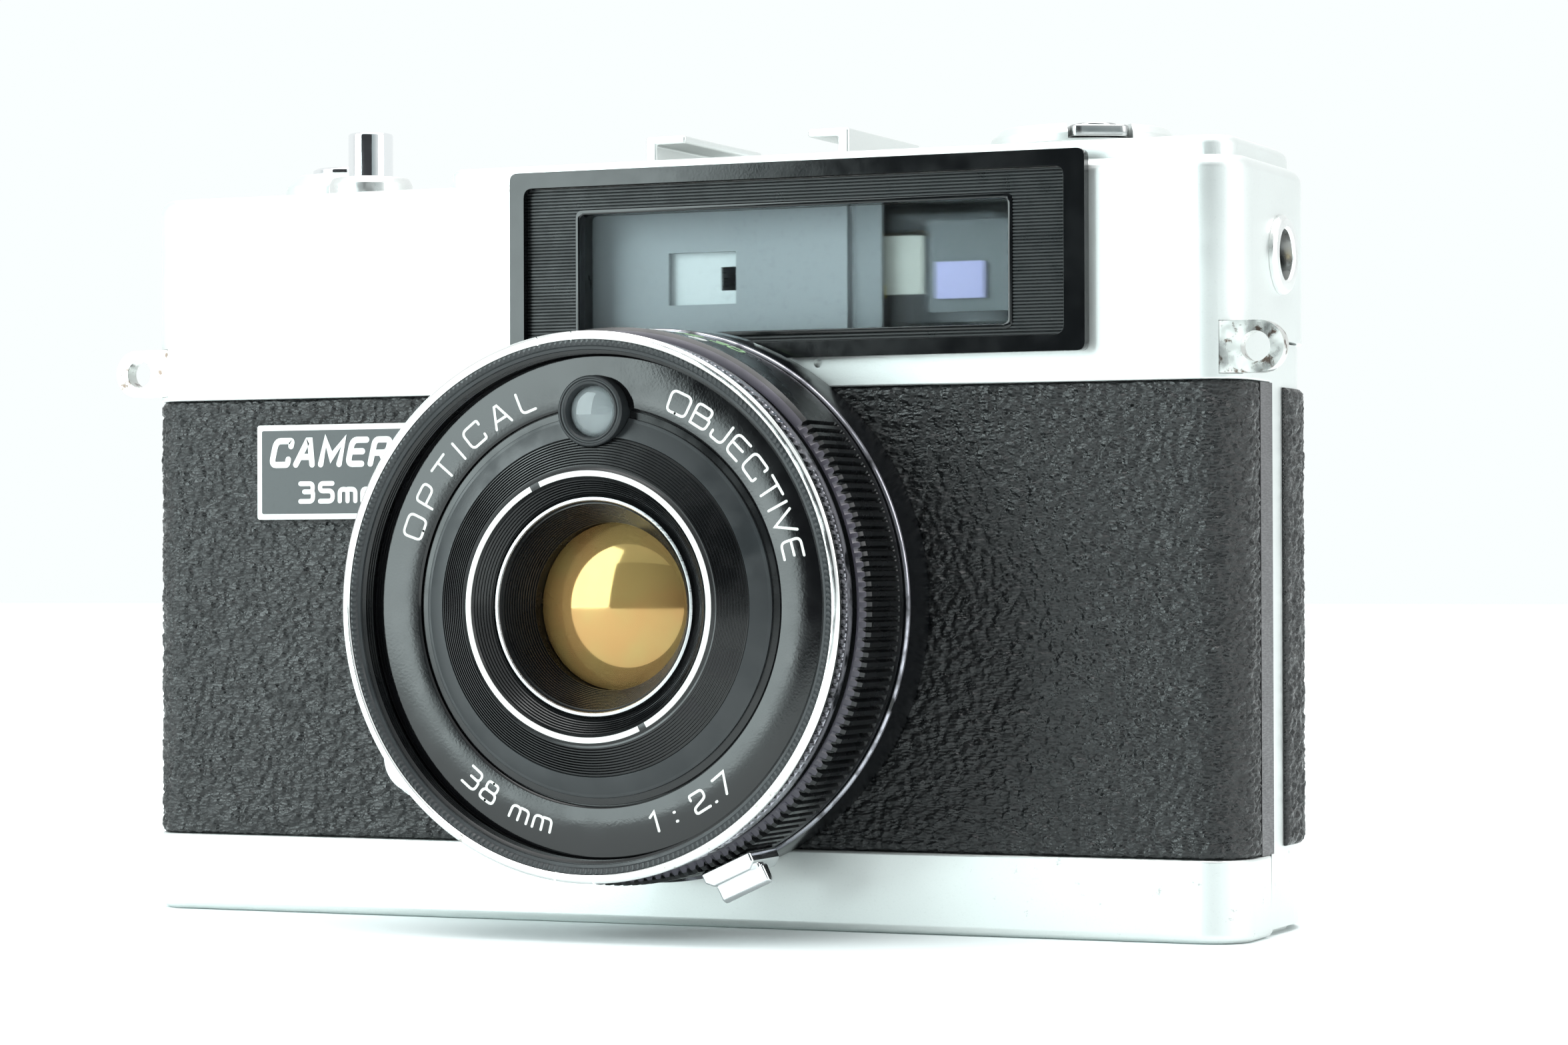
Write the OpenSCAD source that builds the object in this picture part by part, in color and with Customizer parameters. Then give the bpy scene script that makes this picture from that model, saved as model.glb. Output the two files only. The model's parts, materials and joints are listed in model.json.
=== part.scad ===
// A compact 35 mm rangefinder camera, built as its separate pieces.
// Millimetres. +X to the viewer's right, -Y to the front, +Z up.
// The origin is the mouth of the tripod socket, at the middle of the flat base.

/* [Body] */
// Width of the body between its two ends
body_w = 112; // [108:1:118]
// Depth of the body, from the front covers to the back door
body_d = 30; // [29:0.5:33]
// Height of the bottom cover
base_h = 7.4; // [6.8:0.2:8.2]
// Height of the joint between the leatherette band and the top cover
band_top = 49.7; // [49:0.1:51]
// Height of the low deck, at the shutter button
deck_z = 69.6; // [69:0.1:70.5]
// Height of the raised deck, above the finder
tier_z = 71.4; // [71:0.1:72.4]
// Corner radius at the front, seen from above
front_r = 4; // [3.5:0.5:4.5]
// Corner radius at the back, seen from above
back_r = 13; // [11:1:14]
// Thickness of the sheet metal covers
cover_t = 0.9; // [0.7:0.1:1]

/* [Lens] */
// Lens axis, to the side of the middle
lens_x = 1.3; // [0:0.1:2]
// Lens axis, above the base
lens_z = 29.8; // [29:0.1:30.5]
// Radius of the lens base
lens_base_r = 25.4; // [24.8:0.1:25.8]
// Radius of the focus ring
focus_r = 25.1; // [24.4:0.1:25.4]
// Radius of the chrome rim
rim_r = 24.5; // [24.4:0.1:24.8]
// How far the lens stands in front of the body
lens_reach = 19.1; // [19:0.1:19.6]

/* [Finder] */
// Left edge of the finder frame
finder_left = -15.2; // [-16:0.1:-14]
// Right edge of the finder frame
finder_right = 42; // [40:0.1:42.6]
// Lower edge of the finder frame
finder_low = 52.4; // [52:0.1:53]
// Upper edge of the finder frame
finder_high = 70.4; // [70:0.1:70.8]

/* [Top] */
// Shutter button, to the side of the middle
button_x = -36.1; // [-37:0.1:-35]
// Wind lever pivot, to the side of the middle
wind_x = -44.5; // [-45:0.1:-44]
// Rewind shaft and cassette, to the side of the middle
rewind_x = 36.5; // [36:0.1:37]
// Radius of the rewind knob
knob_r = 8.6; // [8:0.1:9]

/* [Hidden] */
$fn = 64;

half_w = body_w / 2;
front_y = -body_d / 2;
back_y = body_d / 2;
eps = 0.01;
big = 200;
// Radial clearance of a shaft in its hole
run = 0.06;

// Depths behind the front covers
leather_end = 6.2;
strip_start = 6.3;
strip_end = 9.9;
door_start = 10.1;
film_depth = 25.6;
// Insets from the outline of the covers
leather_in = 0.15;
casting_in = 0.95;
back_casting_in = 1.7;
door_in = 0.45;
door_t = 0.9;
// Heights
casting_low = 5.2;
casting_high = 54.3;
door_low = 0.6;
door_high = 53.4;
door_leather_low = 7.9;
door_leather_high = 49.4;
tier_in = 1.3;
tier_left = -23.4;

// Hinge of the back door
hinge_x = -half_w + 0.7;
hinge_y = front_y + 9.9;
hinge_pin_r = 0.5;
knuckle_r = 1;
ear_low = [5.9, 9];
ear_high = [45, 49.4];

// Film chambers and transport
chamber_low = 5.9;
chamber_high = 53.5;
spool_low = 8;
spool_high = 51.6;
cassette_r = 12.9;
cassette_y = front_y + 14.6;
spool_x = -41;
spool_y = front_y + 14;
spool_room_r = 11.2;
sprocket_x = -24.5;
sprocket_y = front_y + 21;
gate_w = 36;
gate_h = 24;
bay_left = -30;
bay_right = 24;
bay_low = 8.2;
bay_high = 51.4;

// Lens, as distances in front of the body along the lens axis
guide_r = 21.2;
housing_r = 19.5;
flange_back = 0.02;
base_front = 5;
focus_back = 5.4;
focus_front = 13.8;
barrel_r = 23.35;
barrel_floor = 15.9;
rim_back = 18.3;
meter_up = 17.4;
blade_pivot = [10, 7];

// Top plate
button_y = front_y + 9.5;
button_r = 2.2;
button_top = 76.1;
wind_y = front_y + 19.5;
rewind_y = front_y + 14.5;
shaft_r = 2.6;
// Direction in which the folded crank points
crank_angle = -60;
shaft_top = 71.9;
counter_x = -14.5;
counter_y = front_y + 16;
shoe_x = 5.1;
meter_x = 12;
meter_y = front_y + 14;
sync_y = front_y + 12.1;
sync_z = 61.3;
eyepiece_x = 28;
eyepiece_z = 61;

// Base
battery_x = 19;
battery_y = 5.5;
screw_spots = [[-49.5, 4], [49.5, 4], [-30, -9.5]];

function arc(cx, cy, r, from, to, steps) =
    [for (k = [0:steps]) [cx + r * cos(from + (to - from) * k / steps),
                          cy + r * sin(from + (to - from) * k / steps)]];

function outline_points(inset) = concat(
    arc(half_w - front_r, front_y + front_r, front_r - inset, -90, 0, 6),
    arc(half_w - back_r, back_y - back_r, back_r - inset, 0, 90, 12),
    arc(back_r - half_w, back_y - back_r, back_r - inset, 90, 180, 12),
    arc(front_r - half_w, front_y + front_r, front_r - inset, 180, 270, 6));

// The body outline seen from above, as a slab between two heights
module slab(low, high, inset = 0) {
    translate([0, 0, low]) linear_extrude(high - low) polygon(outline_points(inset));
}

// A box from its low corner to its high corner
module block(low, high) {
    translate(low) cube(high - low);
}

// Everything ahead of, or behind, a depth measured from the front covers
module ahead_of(depth) {
    block([-big, -big, -big], [big, front_y + depth, big]);
}
module behind(depth) {
    block([-big, front_y + depth, -big], [big, big, big]);
}

// A vertical cylinder between two heights
module post(x, y, r, low, high) {
    translate([x, y, low]) cylinder(r = r, h = high - low);
}

// Puts a piece on the lens axis: its +Z points out of the lens, its +Y up
module on_lens_axis() {
    translate([lens_x, front_y, lens_z]) rotate([90, 0, 0]) children();
}

// A turned lens part from its profile of [radius, distance] points
module turned(profile) {
    rotate_extrude($fn = 128) polygon(profile);
}

// A box on the front face: x and z ranges, and depths behind the front covers
module front_box(x_range, z_range, depth_range) {
    block([x_range[0], front_y + depth_range[0], z_range[0]],
          [x_range[1], front_y + depth_range[1], z_range[1]]);
}

// ---- Body shell ----

// The whole chassis, before it is divided into its casting, floor and roof
module chassis() {
    difference() {
        union() {
            intersection() { slab(casting_low, casting_high, casting_in); ahead_of(strip_end); }
            slab(casting_low, casting_high, back_casting_in);
            intersection() {
                slab(base_h + 0.05, band_top - 0.05, leather_in);
                behind(strip_start);
                ahead_of(strip_end);
            }
            for (spot = screw_spots) post(spot[0], spot[1], 2.2, cover_t, casting_low + 1);
            post(0, 0, 7.6, cover_t, casting_low + 1);
        }
        // cassette chamber, open at the back
        post(rewind_x, cassette_y, cassette_r, chamber_low, chamber_high);
        block([rewind_x - cassette_r, cassette_y, chamber_low],
              [rewind_x + cassette_r, big, chamber_high]);
        post(rewind_x, cassette_y, shaft_r + 0.3, chamber_high - 1, big);
        // take-up chamber, open at the back
        post(spool_x, spool_y, spool_room_r, spool_low, spool_high);
        block([spool_x - spool_room_r, spool_y, spool_low],
              [spool_x + spool_room_r, big, spool_high]);
        // bay for the pressure plate, behind the film plane
        block([bay_left, front_y + film_depth, bay_low], [bay_right, big, bay_high]);
        // film gate, light box and lens opening
        translate([lens_x, 0, lens_z]) block([-gate_w / 2, -2, -gate_h / 2], [gate_w / 2, big, gate_h / 2]);
        translate([lens_x, 0, lens_z]) block([-19, front_y + 8, -15], [19, front_y + 18, 15]);
        on_lens_axis() translate([0, 0, -9.5]) cylinder(r = guide_r + 0.02, h = 20);
        // sprocket recess
        post(sprocket_x, sprocket_y, 5.5, bay_low, bay_high);
        block([sprocket_x - 5.5, sprocket_y, bay_low], [sprocket_x + 5.5, big, bay_high]);
        post(sprocket_x, sprocket_y, 2.2, 0, bay_low + eps);
        post(spool_x, spool_y, 2.1, 0, spool_low + eps);
        // room for the wind shaft, the latch and its hooks
        post(wind_x, wind_y, 2 + run, spool_high - eps, big);
        block([50.2, front_y + 12.4, chamber_low], [52.6, front_y + 17.6, big]);
        for (z = [21.5, 37.5])
            block([50.2, front_y + 13.4, z], [big, big, z + 5]);
        // room for the finder frame
        front_box([finder_left, finder_right], [finder_low + 1.5, 60], [-5, 3]);
        // battery and tripod sockets
        post(battery_x, battery_y, 6.1, 0, casting_low + 2.3);
        post(0, 0, 6, 0, casting_low);
        for (spot = screw_spots) post(spot[0], spot[1], 0.7, 0, casting_low);
        // hinge and strap lug pockets
        post(hinge_x, hinge_y, 1.25, -1, big);
        for (side = [-1, 1]) translate([side * 55.6, front_y + 1.3, 52.5]) cube([8, 1.7, 4.8], center = true);
    }
}

module chassis_between(low, high) {
    intersection() {
        chassis();
        block([-big, -big, low], [big, big, high]);
    }
}

module chassis_floor() {
    color("dimgray") chassis_between(0, chamber_low);
}

module chassis_roof() {
    color("dimgray") chassis_between(spool_high, casting_high + 1);
}

module body_casting() {
    color("dimgray") chassis_between(chamber_low, spool_high);
    color("dimgray") for (ear = [ear_low, ear_high]) difference() {
        union() {
            post(hinge_x, hinge_y, knuckle_r, ear[0], ear[1]);
            block([hinge_x, hinge_y - 0.8, ear[0]], [hinge_x + 1.9, hinge_y + 0.6, ear[1]]);
        }
        post(hinge_x, hinge_y, hinge_pin_r, 0, big);
    }
}

module bottom_cover() {
    front_part = 8.9;
    color("silver") difference() {
        union() {
            intersection() { slab(0, base_h); ahead_of(front_part); }
            slab(0, cover_t, door_in + door_t + 0.25);
        }
        slab(cover_t, base_h + 1, cover_t);
        post(0, 0, 6, -1, 2);
        post(battery_x, battery_y, 7.3, -1, 2);
        post(sprocket_x, sprocket_y, 1.9 + run, -1, 2);
        for (spot = screw_spots) post(spot[0], spot[1], 1.7, -1, 2);
    }
}

module top_cover() {
    skirt_end = 9;
    color("gainsboro") difference() {
        union() {
            slab(band_top, deck_z);
            intersection() {
                slab(deck_z - eps, tier_z, tier_in);
                block([tier_left, -big, 0], [big, big, big]);
            }
        }
        slab(band_top - 1, deck_z - cover_t, cover_t);
        intersection() {
            slab(deck_z - 2, tier_z - cover_t, tier_in + cover_t);
            block([tier_left + cover_t, -big, 0], [big, big, big]);
        }
        block([-big, front_y + skirt_end, 0], [big, big, door_high + 0.2]);
        front_box([finder_left + 1.5, finder_right - 1.9], [finder_low + 1.5, finder_high - 1.5], [-1, 5]);
        on_lens_axis() translate([0, 0, -4]) cylinder(r = guide_r + 0.1, h = 8);
        post(button_x, button_y, 3.2, deck_z - 2, big);
        post(wind_x, wind_y, 2.6, deck_z - 2, big);
        post(rewind_x, rewind_y, shaft_r + 0.4, deck_z, big);
        post(counter_x, counter_y, 2.7, deck_z, big);
        block([shoe_x - 10.6, front_y + 7.9, tier_z - 0.5], [shoe_x + 10.6, front_y + 26.1, big]);
        translate([half_w - 3, sync_y, sync_z]) rotate([0, 90, 0]) cylinder(r = 3, h = 9);
        block([eyepiece_x - 6, back_y - 3, eyepiece_z - 4], [eyepiece_x + 6, big, eyepiece_z + 4]);
        for (side = [-1, 1]) translate([side * 55.6, front_y + 1.3, 52.5]) cube([8, 1.7, 4.7], center = true);
    }
}

module front_leatherette() {
    color("#1c1d1e") difference() {
        intersection() {
            slab(base_h + 0.05, band_top - 0.05, leather_in);
            ahead_of(leather_end);
        }
        slab(0, big, casting_in - 0.05);
        on_lens_axis() translate([0, 0, -4]) cylinder(r = guide_r + 0.1, h = 8);
    }
}

module light_seals() {
    color("black") {
        // in the groove above and below the film bay
        for (z = [bay_low - 1.5, bay_high + 0.3])
            block([bay_left + 2, front_y + 28.35, z], [bay_right - 2, front_y + 28.55, z + 1.2]);
        // beside the take-up chamber
        block([bay_left + 0.6, front_y + 27, 9], [bay_left + 1.6, front_y + 28.55, 50]);
    }
}

module cover_screws() {
    color("silver") for (spot = screw_spots) difference() {
        union() {
            post(spot[0], spot[1], 1.6, 0.1, cover_t - 0.05);
            post(spot[0], spot[1], 0.7, cover_t - 0.1, casting_low - 0.5);
        }
        translate([spot[0], spot[1], 0]) cube([4, 0.4, 0.8], center = true);
    }
}

// ---- Back door ----

module back_door() {
    color("silver") difference() {
        union() {
            difference() {
                slab(door_low, door_high, door_in);
                slab(0, big, door_in + door_t);
                ahead_of(door_start);
            }
            post(hinge_x, hinge_y, knuckle_r, ear_low[1] + 0.2, ear_high[0] - 0.2);
            for (z = [22, 38]) block([52.9, front_y + 14, z], [half_w - door_in - 0.5, front_y + 16.4, z + 4]);
        }
        post(hinge_x, hinge_y, hinge_pin_r + 0.05, 0, big);
        for (ear = [ear_low, ear_high]) post(hinge_x, hinge_y, knuckle_r + 0.2, ear[0] - 0.2, ear[1] + 0.2);
        // the pin's ends
        post(hinge_x, hinge_y, 0.8, 0, ear_low[0]);
        post(hinge_x, hinge_y, 0.8, ear_high[1], big);
    }
}

module door_leatherette() {
    color("#1c1d1e") difference() {
        slab(door_leather_low, door_leather_high, -0.1);
        slab(0, big, door_in);
        ahead_of(13.8);
    }
}

module pressure_plate() {
    color("#2a2a2c") difference() {
        front_box([-18.5, 22], [lens_z - 16.5, lens_z + 16.5], [film_depth + 0.2, film_depth + 1.2]);
        for (x = [-12, 16]) for (z = [-8, 8])
            translate([x, 0, lens_z + z]) rotate([-90, 0, 0]) cylinder(r = 1.5, h = 20);
    }
}

module pressure_spring() {
    color("silver") {
        front_box([-14, 12], [lens_z - 4, lens_z + 4], [28.3, 28.65]);
        for (x = [-14, 10]) front_box([x, x + 2], [lens_z - 4, lens_z + 4], [27.6, 28.3 + eps]);
    }
}

module hinge_pin() {
    color("silver") post(hinge_x, hinge_y, hinge_pin_r, ear_low[0], ear_high[1]);
}

module door_latch() {
    arm_z = 55;
    color("#9a9a9c") difference() {
        union() {
            block([50.5, front_y + 12.8, 12], [52.3, front_y + 17.2, arm_z + 1]);
            block([rewind_x - 4, front_y + 12.8, arm_z], [52.3, front_y + 17.2, arm_z + 1]);
            post(rewind_x, rewind_y, 4.6, arm_z, arm_z + 1);
        }
        post(rewind_x, rewind_y, shaft_r + run, 0, big);
        for (z = [20.5, 36.5]) block([51.4, 0 - big, z], [big, big, z + 7]);
    }
}

// ---- Finder ----

module finder_frame() {
    border = 1.5;
    panel_depth = -0.4;
    window = [[-8.3, 34.6], [54.9, 66.4]];
    color("#151617") difference() {
        union() {
            front_box([finder_left, finder_right], [finder_low, finder_high], [-1.2, 0]);
            front_box([finder_left + border + 0.1, finder_right - 2], [finder_low + border + 0.1, finder_high - border - 0.1],
                      [-0.1, 2.6]);
        }
        front_box([finder_left + border, finder_right - 2], [finder_low + border, finder_high - border],
                  [-2, panel_depth]);
        front_box(window[0], window[1], [-2, 4]);
        front_box([-9, 35.3], [54.2, 67.1], [0.8, 4]);
        on_lens_axis() translate([0, 0, -4]) cylinder(r = lens_base_r + 0.15, h = 12);
    }
}

module finder_glass() {
    color([0.8, 0.9, 0.95, 0.4]) front_box([-8.9, 35.2], [54.3, 67], [0.8, 1.8]);
}

module frame_mask() {
    color("#7d8488") difference() {
        front_box([-9, 17.4], [54.3, 67], [3.2, 3.8]);
        front_box([-0.7, 6.2], [57.8, 62.7], [3, 4]);
    }
}

module finder_lens() {
    color([0.75, 0.85, 0.9, 0.5]) front_box([18, 34.6], [54.6, 66.6], [3, 5.2]);
}

module beam_splitter() {
    color("#8f92d6") difference() {
        front_box([20, 30], [56, 66], [11, 18]);
        translate([25, front_y + 14.5, 66]) rotate([0, 0, 45]) cube([9, 0.3, 4], center = true);
    }
}

// A mirror on a lever, pivoted on an upright pin
module rangefinder_arm() {
    color("#a8abad") {
        difference() {
            union() {
                post(3, front_y + 9, 2, 55.4, 66);
                block([3, front_y + 8.4, 56], [5, front_y + 15.5, 57]);
            }
            post(3, front_y + 9, 0.8, 0, 65);
        }
        translate([3, front_y + 9, 61]) rotate([0, 0, 45]) translate([0, -2.4, 0]) cube([7, 0.9, 7], center = true);
    }
}

module eyepiece_bezel() {
    color("#151617") difference() {
        union() {
            block([eyepiece_x - 7, back_y, eyepiece_z - 5], [eyepiece_x + 7, back_y + 1.2, eyepiece_z + 5]);
            block([eyepiece_x - 5.9, back_y - 2.5, eyepiece_z - 3.9], [eyepiece_x + 5.9, back_y + 0.1, eyepiece_z + 3.9]);
        }
        block([eyepiece_x - 4.6, back_y - 9, eyepiece_z - 2.8], [eyepiece_x + 4.6, back_y + 9, eyepiece_z + 2.8]);
    }
}

module eyepiece_lens() {
    color([0.8, 0.9, 0.95, 0.5])
        block([eyepiece_x - 4.6, back_y - 1.6, eyepiece_z - 2.8], [eyepiece_x + 4.6, back_y - 0.2, eyepiece_z + 2.8]);
}

// ---- Fittings on the outside ----

module accessory_shoe() {
    half = 10.5;
    slot_half = 9.35;
    lip_half = 6.3;
    lip_z = tier_z + 2.1;
    color("whitesmoke") difference() {
        block([shoe_x - half, front_y + 8, tier_z - 0.5], [shoe_x + half, front_y + 26, lip_z + 0.8]);
        block([shoe_x - slot_half, front_y + 9.2, tier_z + 0.1], [shoe_x + slot_half, big, lip_z]);
        block([shoe_x - lip_half, front_y + 7, tier_z + 0.1], [shoe_x + lip_half, big, big]);
    }
}

module strap_lugs() {
    plate_y = front_y + 0.5;
    plate_t = 1.6;
    tip_x = 57.45;
    tip_r = 2.3;
    color("gainsboro") for (side = [-1, 1]) difference() {
        union() {
            translate([side * tip_x, plate_y + plate_t, 52.5]) rotate([90, 0, 0]) cylinder(r = tip_r, h = plate_t);
            translate([side * (tip_x + 51.8) / 2, plate_y + plate_t / 2, 52.5])
                cube([tip_x - 51.8, plate_t, 2 * tip_r], center = true);
        }
        translate([side * 57.15, plate_y + 5, 52.5]) rotate([90, 0, 0]) cylinder(r = 1.35, h = 10);
    }
}

module sync_socket() {
    color("gainsboro") translate([half_w, sync_y, sync_z]) rotate([0, 90, 0]) difference() {
        union() {
            cylinder(r = 3.6, h = 0.7);
            translate([0, 0, -3.5]) cylinder(r = 2.95, h = 4);
        }
        translate([0, 0, -2.5]) cylinder(r = 2.3, h = 9);
    }
}

module sync_contact() {
    color("goldenrod") translate([half_w - 2.5, sync_y, sync_z]) rotate([0, 90, 0]) {
        cylinder(r = 2.3, h = 0.8);
        cylinder(r = 0.6, h = 2.3);
    }
}

module nameplate() {
    color("#3b3f40") front_box([-43.05, -24], [38, 47.15], [-0.65, leather_in]);
}

module self_timer_lever() {
    pivot = [-26.1, -14.5];
    tilt = 12;
    reach = 17;
    color("gainsboro") on_lens_axis() translate([pivot[0], pivot[1], 0]) {
        translate([0, 0, -leather_in]) cylinder(r = 3.7, h = 2.6 + leather_in);
        rotate([0, 0, tilt]) difference() {
            union() {
                translate([-1.9, 0, 1]) cube([3.8, reach, 1.2]);
                translate([0, reach, 1]) cylinder(r = 1.9, h = 1.8);
            }
            cylinder(r = 1, h = 0.5);
        }
    }
}

module shutter_collar() {
    color("gainsboro") difference() {
        union() {
            post(button_x, button_y, 4.1, deck_z, deck_z + 2.1);
            post(button_x, button_y, 3.1, deck_z - 1.5, deck_z + 0.1);
        }
        post(button_x, button_y, button_r + run, 0, big);
    }
}

module shutter_button() {
    color("whitesmoke") difference() {
        union() {
            post(button_x, button_y, button_r, 66, button_top);
            post(button_x, button_y, 3, 65, 66 + eps);
            post(button_x, button_y, 1.2, 57.2, 65 + eps);
        }
        post(button_x, button_y, 1.3, button_top - 4, big);
    }
}

// A coil spring as a swept wire: rings of points joined into one closed skin
module button_spring() {
    wire_r = 0.28;
    coil_r = 2;
    low = casting_high + wire_r + 0.02;
    high = 65 - wire_r - 0.02;
    turns = 5;
    sides = 8;
    rings = turns * 14;
    function wire_point(k, s) =
        let (turn = 360 * turns * k / rings, out = coil_r + wire_r * cos(360 * s / sides))
        [out * cos(turn), out * sin(turn), low + (high - low) * k / rings + wire_r * sin(360 * s / sides)];
    points = [for (k = [0:rings]) for (s = [0:sides - 1]) wire_point(k, s)];
    skin = [for (k = [0:rings - 1]) for (s = [0:sides - 1])
        [k * sides + s, k * sides + (s + 1) % sides, (k + 1) * sides + (s + 1) % sides, (k + 1) * sides + s]];
    first = [for (s = [sides - 1:-1:0]) s];
    last = [for (s = [0:sides - 1]) rings * sides + s];
    color("silver") translate([button_x, button_y, 0]) polyhedron(concat(points), concat(skin, [first, last]));
}

module counter_dial() {
    color("ivory") {
        post(counter_x, counter_y, 5, 68.6, 69.1);
        post(counter_x, counter_y, 1, casting_high + 0.4, 68.7);
    }
}

module counter_window() {
    color([0.8, 0.9, 0.95, 0.5]) post(counter_x, counter_y, 2.7, tier_z - cover_t, tier_z + 0.15);
}

module wind_lever() {
    rest_angle = 115;
    reach = 14;
    color("gainsboro") {
        post(wind_x, wind_y, 6.1, deck_z + 0.4, 73.2);
        post(wind_x, wind_y, 2, 52.2, deck_z + 0.5);
        translate([wind_x, wind_y, deck_z + 0.4]) rotate([0, 0, rest_angle]) {
            translate([0, -3, 0]) cube([reach, 6, 1.5]);
            translate([reach, 0, 0]) cylinder(r = 3, h = 1.5);
            translate([reach, 0, 0]) cylinder(r = 2.2, h = 3);
        }
    }
}

module wind_cap() {
    color("gainsboro") post(wind_x, wind_y, 3.4, 73.2, 73.8);
}

// ---- Film transport ----

module take_up_spool() {
    color("#202022") difference() {
        union() {
            post(spool_x, spool_y, 5.6, 9, 50.6);
            post(spool_x, spool_y, 2, 1.6, 9.1);
            for (z = [9, 49.4]) post(spool_x, spool_y, 6.6, z, z + 1.2);
        }
        for (turn = [0:60:300])
            translate([spool_x, spool_y, lens_z]) rotate([0, 0, turn]) translate([5, 0, 0])
                cube([3, 1.2, 34], center = true);
    }
}

module sprocket() {
    tooth_z = 14.2;
    color("silver") union() {
        post(sprocket_x, sprocket_y, 4.2, 9.2, 50.4);
        post(sprocket_x, sprocket_y, 2.1, 3, 9.3);
        for (side = [-1, 1]) for (turn = [0:45:315])
            translate([sprocket_x, sprocket_y, lens_z + side * tooth_z]) rotate([0, 0, turn])
                translate([4.4, 0, 0]) cube([1.8, 1, 1.8], center = true);
    }
}

module rewind_shaft() {
    fork_low = 46.5;
    color("silver") difference() {
        post(rewind_x, rewind_y, shaft_r, fork_low, shaft_top);
        translate([rewind_x, rewind_y, fork_low]) cube([1.6, 9, 7], center = true);
    }
}

module rewind_knob() {
    knob_low = tier_z + 0.2;
    knob_high = 73.6;
    slot_floor = 72.1;
    color("gainsboro") difference() {
        post(rewind_x, rewind_y, knob_r, knob_low, knob_high);
        post(rewind_x, rewind_y, shaft_r, 0, shaft_top);
        translate([rewind_x, rewind_y, slot_floor]) rotate([0, 0, crank_angle]) block([-12, -3, 0], [12, 3, 5]);
    }
}

module rewind_crank() {
    color("#b9bbbd") translate([rewind_x, rewind_y, 72.25]) rotate([0, 0, crank_angle]) {
        block([-3.3, -2.7, 0], [knob_r - 0.3, 2.7, 1.1]);
        translate([knob_r - 3, 0, 1]) cylinder(r = 2, h = 0.35);
    }
}

// ---- Lens ----

module lens_base() {
    color("#111213") on_lens_axis() turned([
        [housing_r + run, -7], [guide_r, -7], [guide_r, flange_back], [lens_base_r, flange_back],
        [lens_base_r, base_front], [guide_r, base_front], [guide_r, 12.9], [housing_r + run, 12.9]]);
}

module focus_ring() {
    color("#161719") on_lens_axis() turned([
        [guide_r + run, focus_back], [focus_r, focus_back], [focus_r, focus_front - 0.9],
        [focus_r - 0.9, focus_front], [guide_r + run, focus_front]]);
}

module focus_tab() {
    tab_angle = -65;
    color("silver") on_lens_axis() rotate([0, 0, tab_angle]) difference() {
        union() {
            block([focus_r - 0.3, -2.6, 6.4], [focus_r + 1.6, 2.6, 12.4]);
            block([focus_r + 1.5, -2.6, 9.4], [focus_r + 3.2, 2.6, 10.6]);
        }
        cylinder(r = focus_r + 0.02, h = 30, $fn = 128);
    }
}

module shutter_housing() {
    color("#1f2022") on_lens_axis() {
        turned([[6.4, -9], [housing_r, -9], [housing_r, 12.9], [10, 12.9], [10, 11.5], [17.5, 11.5],
                [17.5, 4.2], [4.8, 4.2], [4.8, 3.4], [17.5, 3.4], [17.5, -7.6], [6.4, -7.6]]);
        for (up = [-1, 1]) translate([blade_pivot[0] * up, blade_pivot[1] * up, 4]) cylinder(r = 0.44, h = 2.4);
    }
}

module front_barrel() {
    color("#141516") on_lens_axis() difference() {
        turned([[10, 12.9], [19.4, 12.9], [19.4, 14.2], [22.3, 14.2], [22.3, 15], [barrel_r, 15],
                [barrel_r, rim_back], [22.7, rim_back], [22.7, barrel_floor], [10, barrel_floor]]);
        translate([0, meter_up, 14.4]) cylinder(r = 2.6, h = 5);
    }
}

module film_speed_ring() {
    color("#1a1b1d") on_lens_axis() turned([
        [barrel_r + run, 15.3], [24.3, 15.3], [24.3, 18.05], [barrel_r + run, 18.05]]);
}

module chrome_rim() {
    color("whitesmoke") on_lens_axis() turned([
        [22.75, rim_back], [rim_r, rim_back], [rim_r, lens_reach - 0.3], [rim_r - 0.3, lens_reach],
        [23.1, lens_reach], [22.75, lens_reach - 0.4]]);
}

module name_ring() {
    color("#0e0f10") on_lens_axis() difference() {
        turned([[17.8, barrel_floor], [22.5, barrel_floor], [22.5, 16.45], [17.8, 16.45]]);
        translate([0, meter_up, 0]) cylinder(r = 3.25, h = 30);
    }
}

module lens_cell() {
    white_r = 11.85;
    color("#17181a") on_lens_axis() difference() {
        turned([[17.7, barrel_floor], [17.7, 16.1], [16.9, 16.1], [15.1, 17.1], [white_r + 0.4, 18.2],
                [white_r + 0.3, 18.4], [white_r - 0.3, 18.4], [11.3, 17.9], [9.7, 17.2], [7.6, 13.3],
                [7.6, 10.6], [9.9, 10.6], [9.9, barrel_floor]]);
        translate([0, meter_up, 0]) cylinder(r = 3.25, h = 30);
    }
}

module front_element() {
    edge_z = 12;
    dome_r = 14;
    glass_r = 7.6;
    rise = dome_r - sqrt(dome_r * dome_r - glass_r * glass_r);
    color([0.85, 0.6, 0.25, 0.6]) on_lens_axis() turned(concat(
        [[0, 10.7], [glass_r, 10.7]],
        [for (k = [0:8]) let (r = glass_r * (1 - k / 8))
            [r, edge_z + sqrt(dome_r * dome_r - r * r) - dome_r + rise]]));
}

module rear_element() {
    color([0.75, 0.8, 0.95, 0.5]) on_lens_axis() turned([
        [0, -8.6], [6.35, -8.6], [6.35, -6], [4.5, -5.2], [0, -5]]);
}

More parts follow.
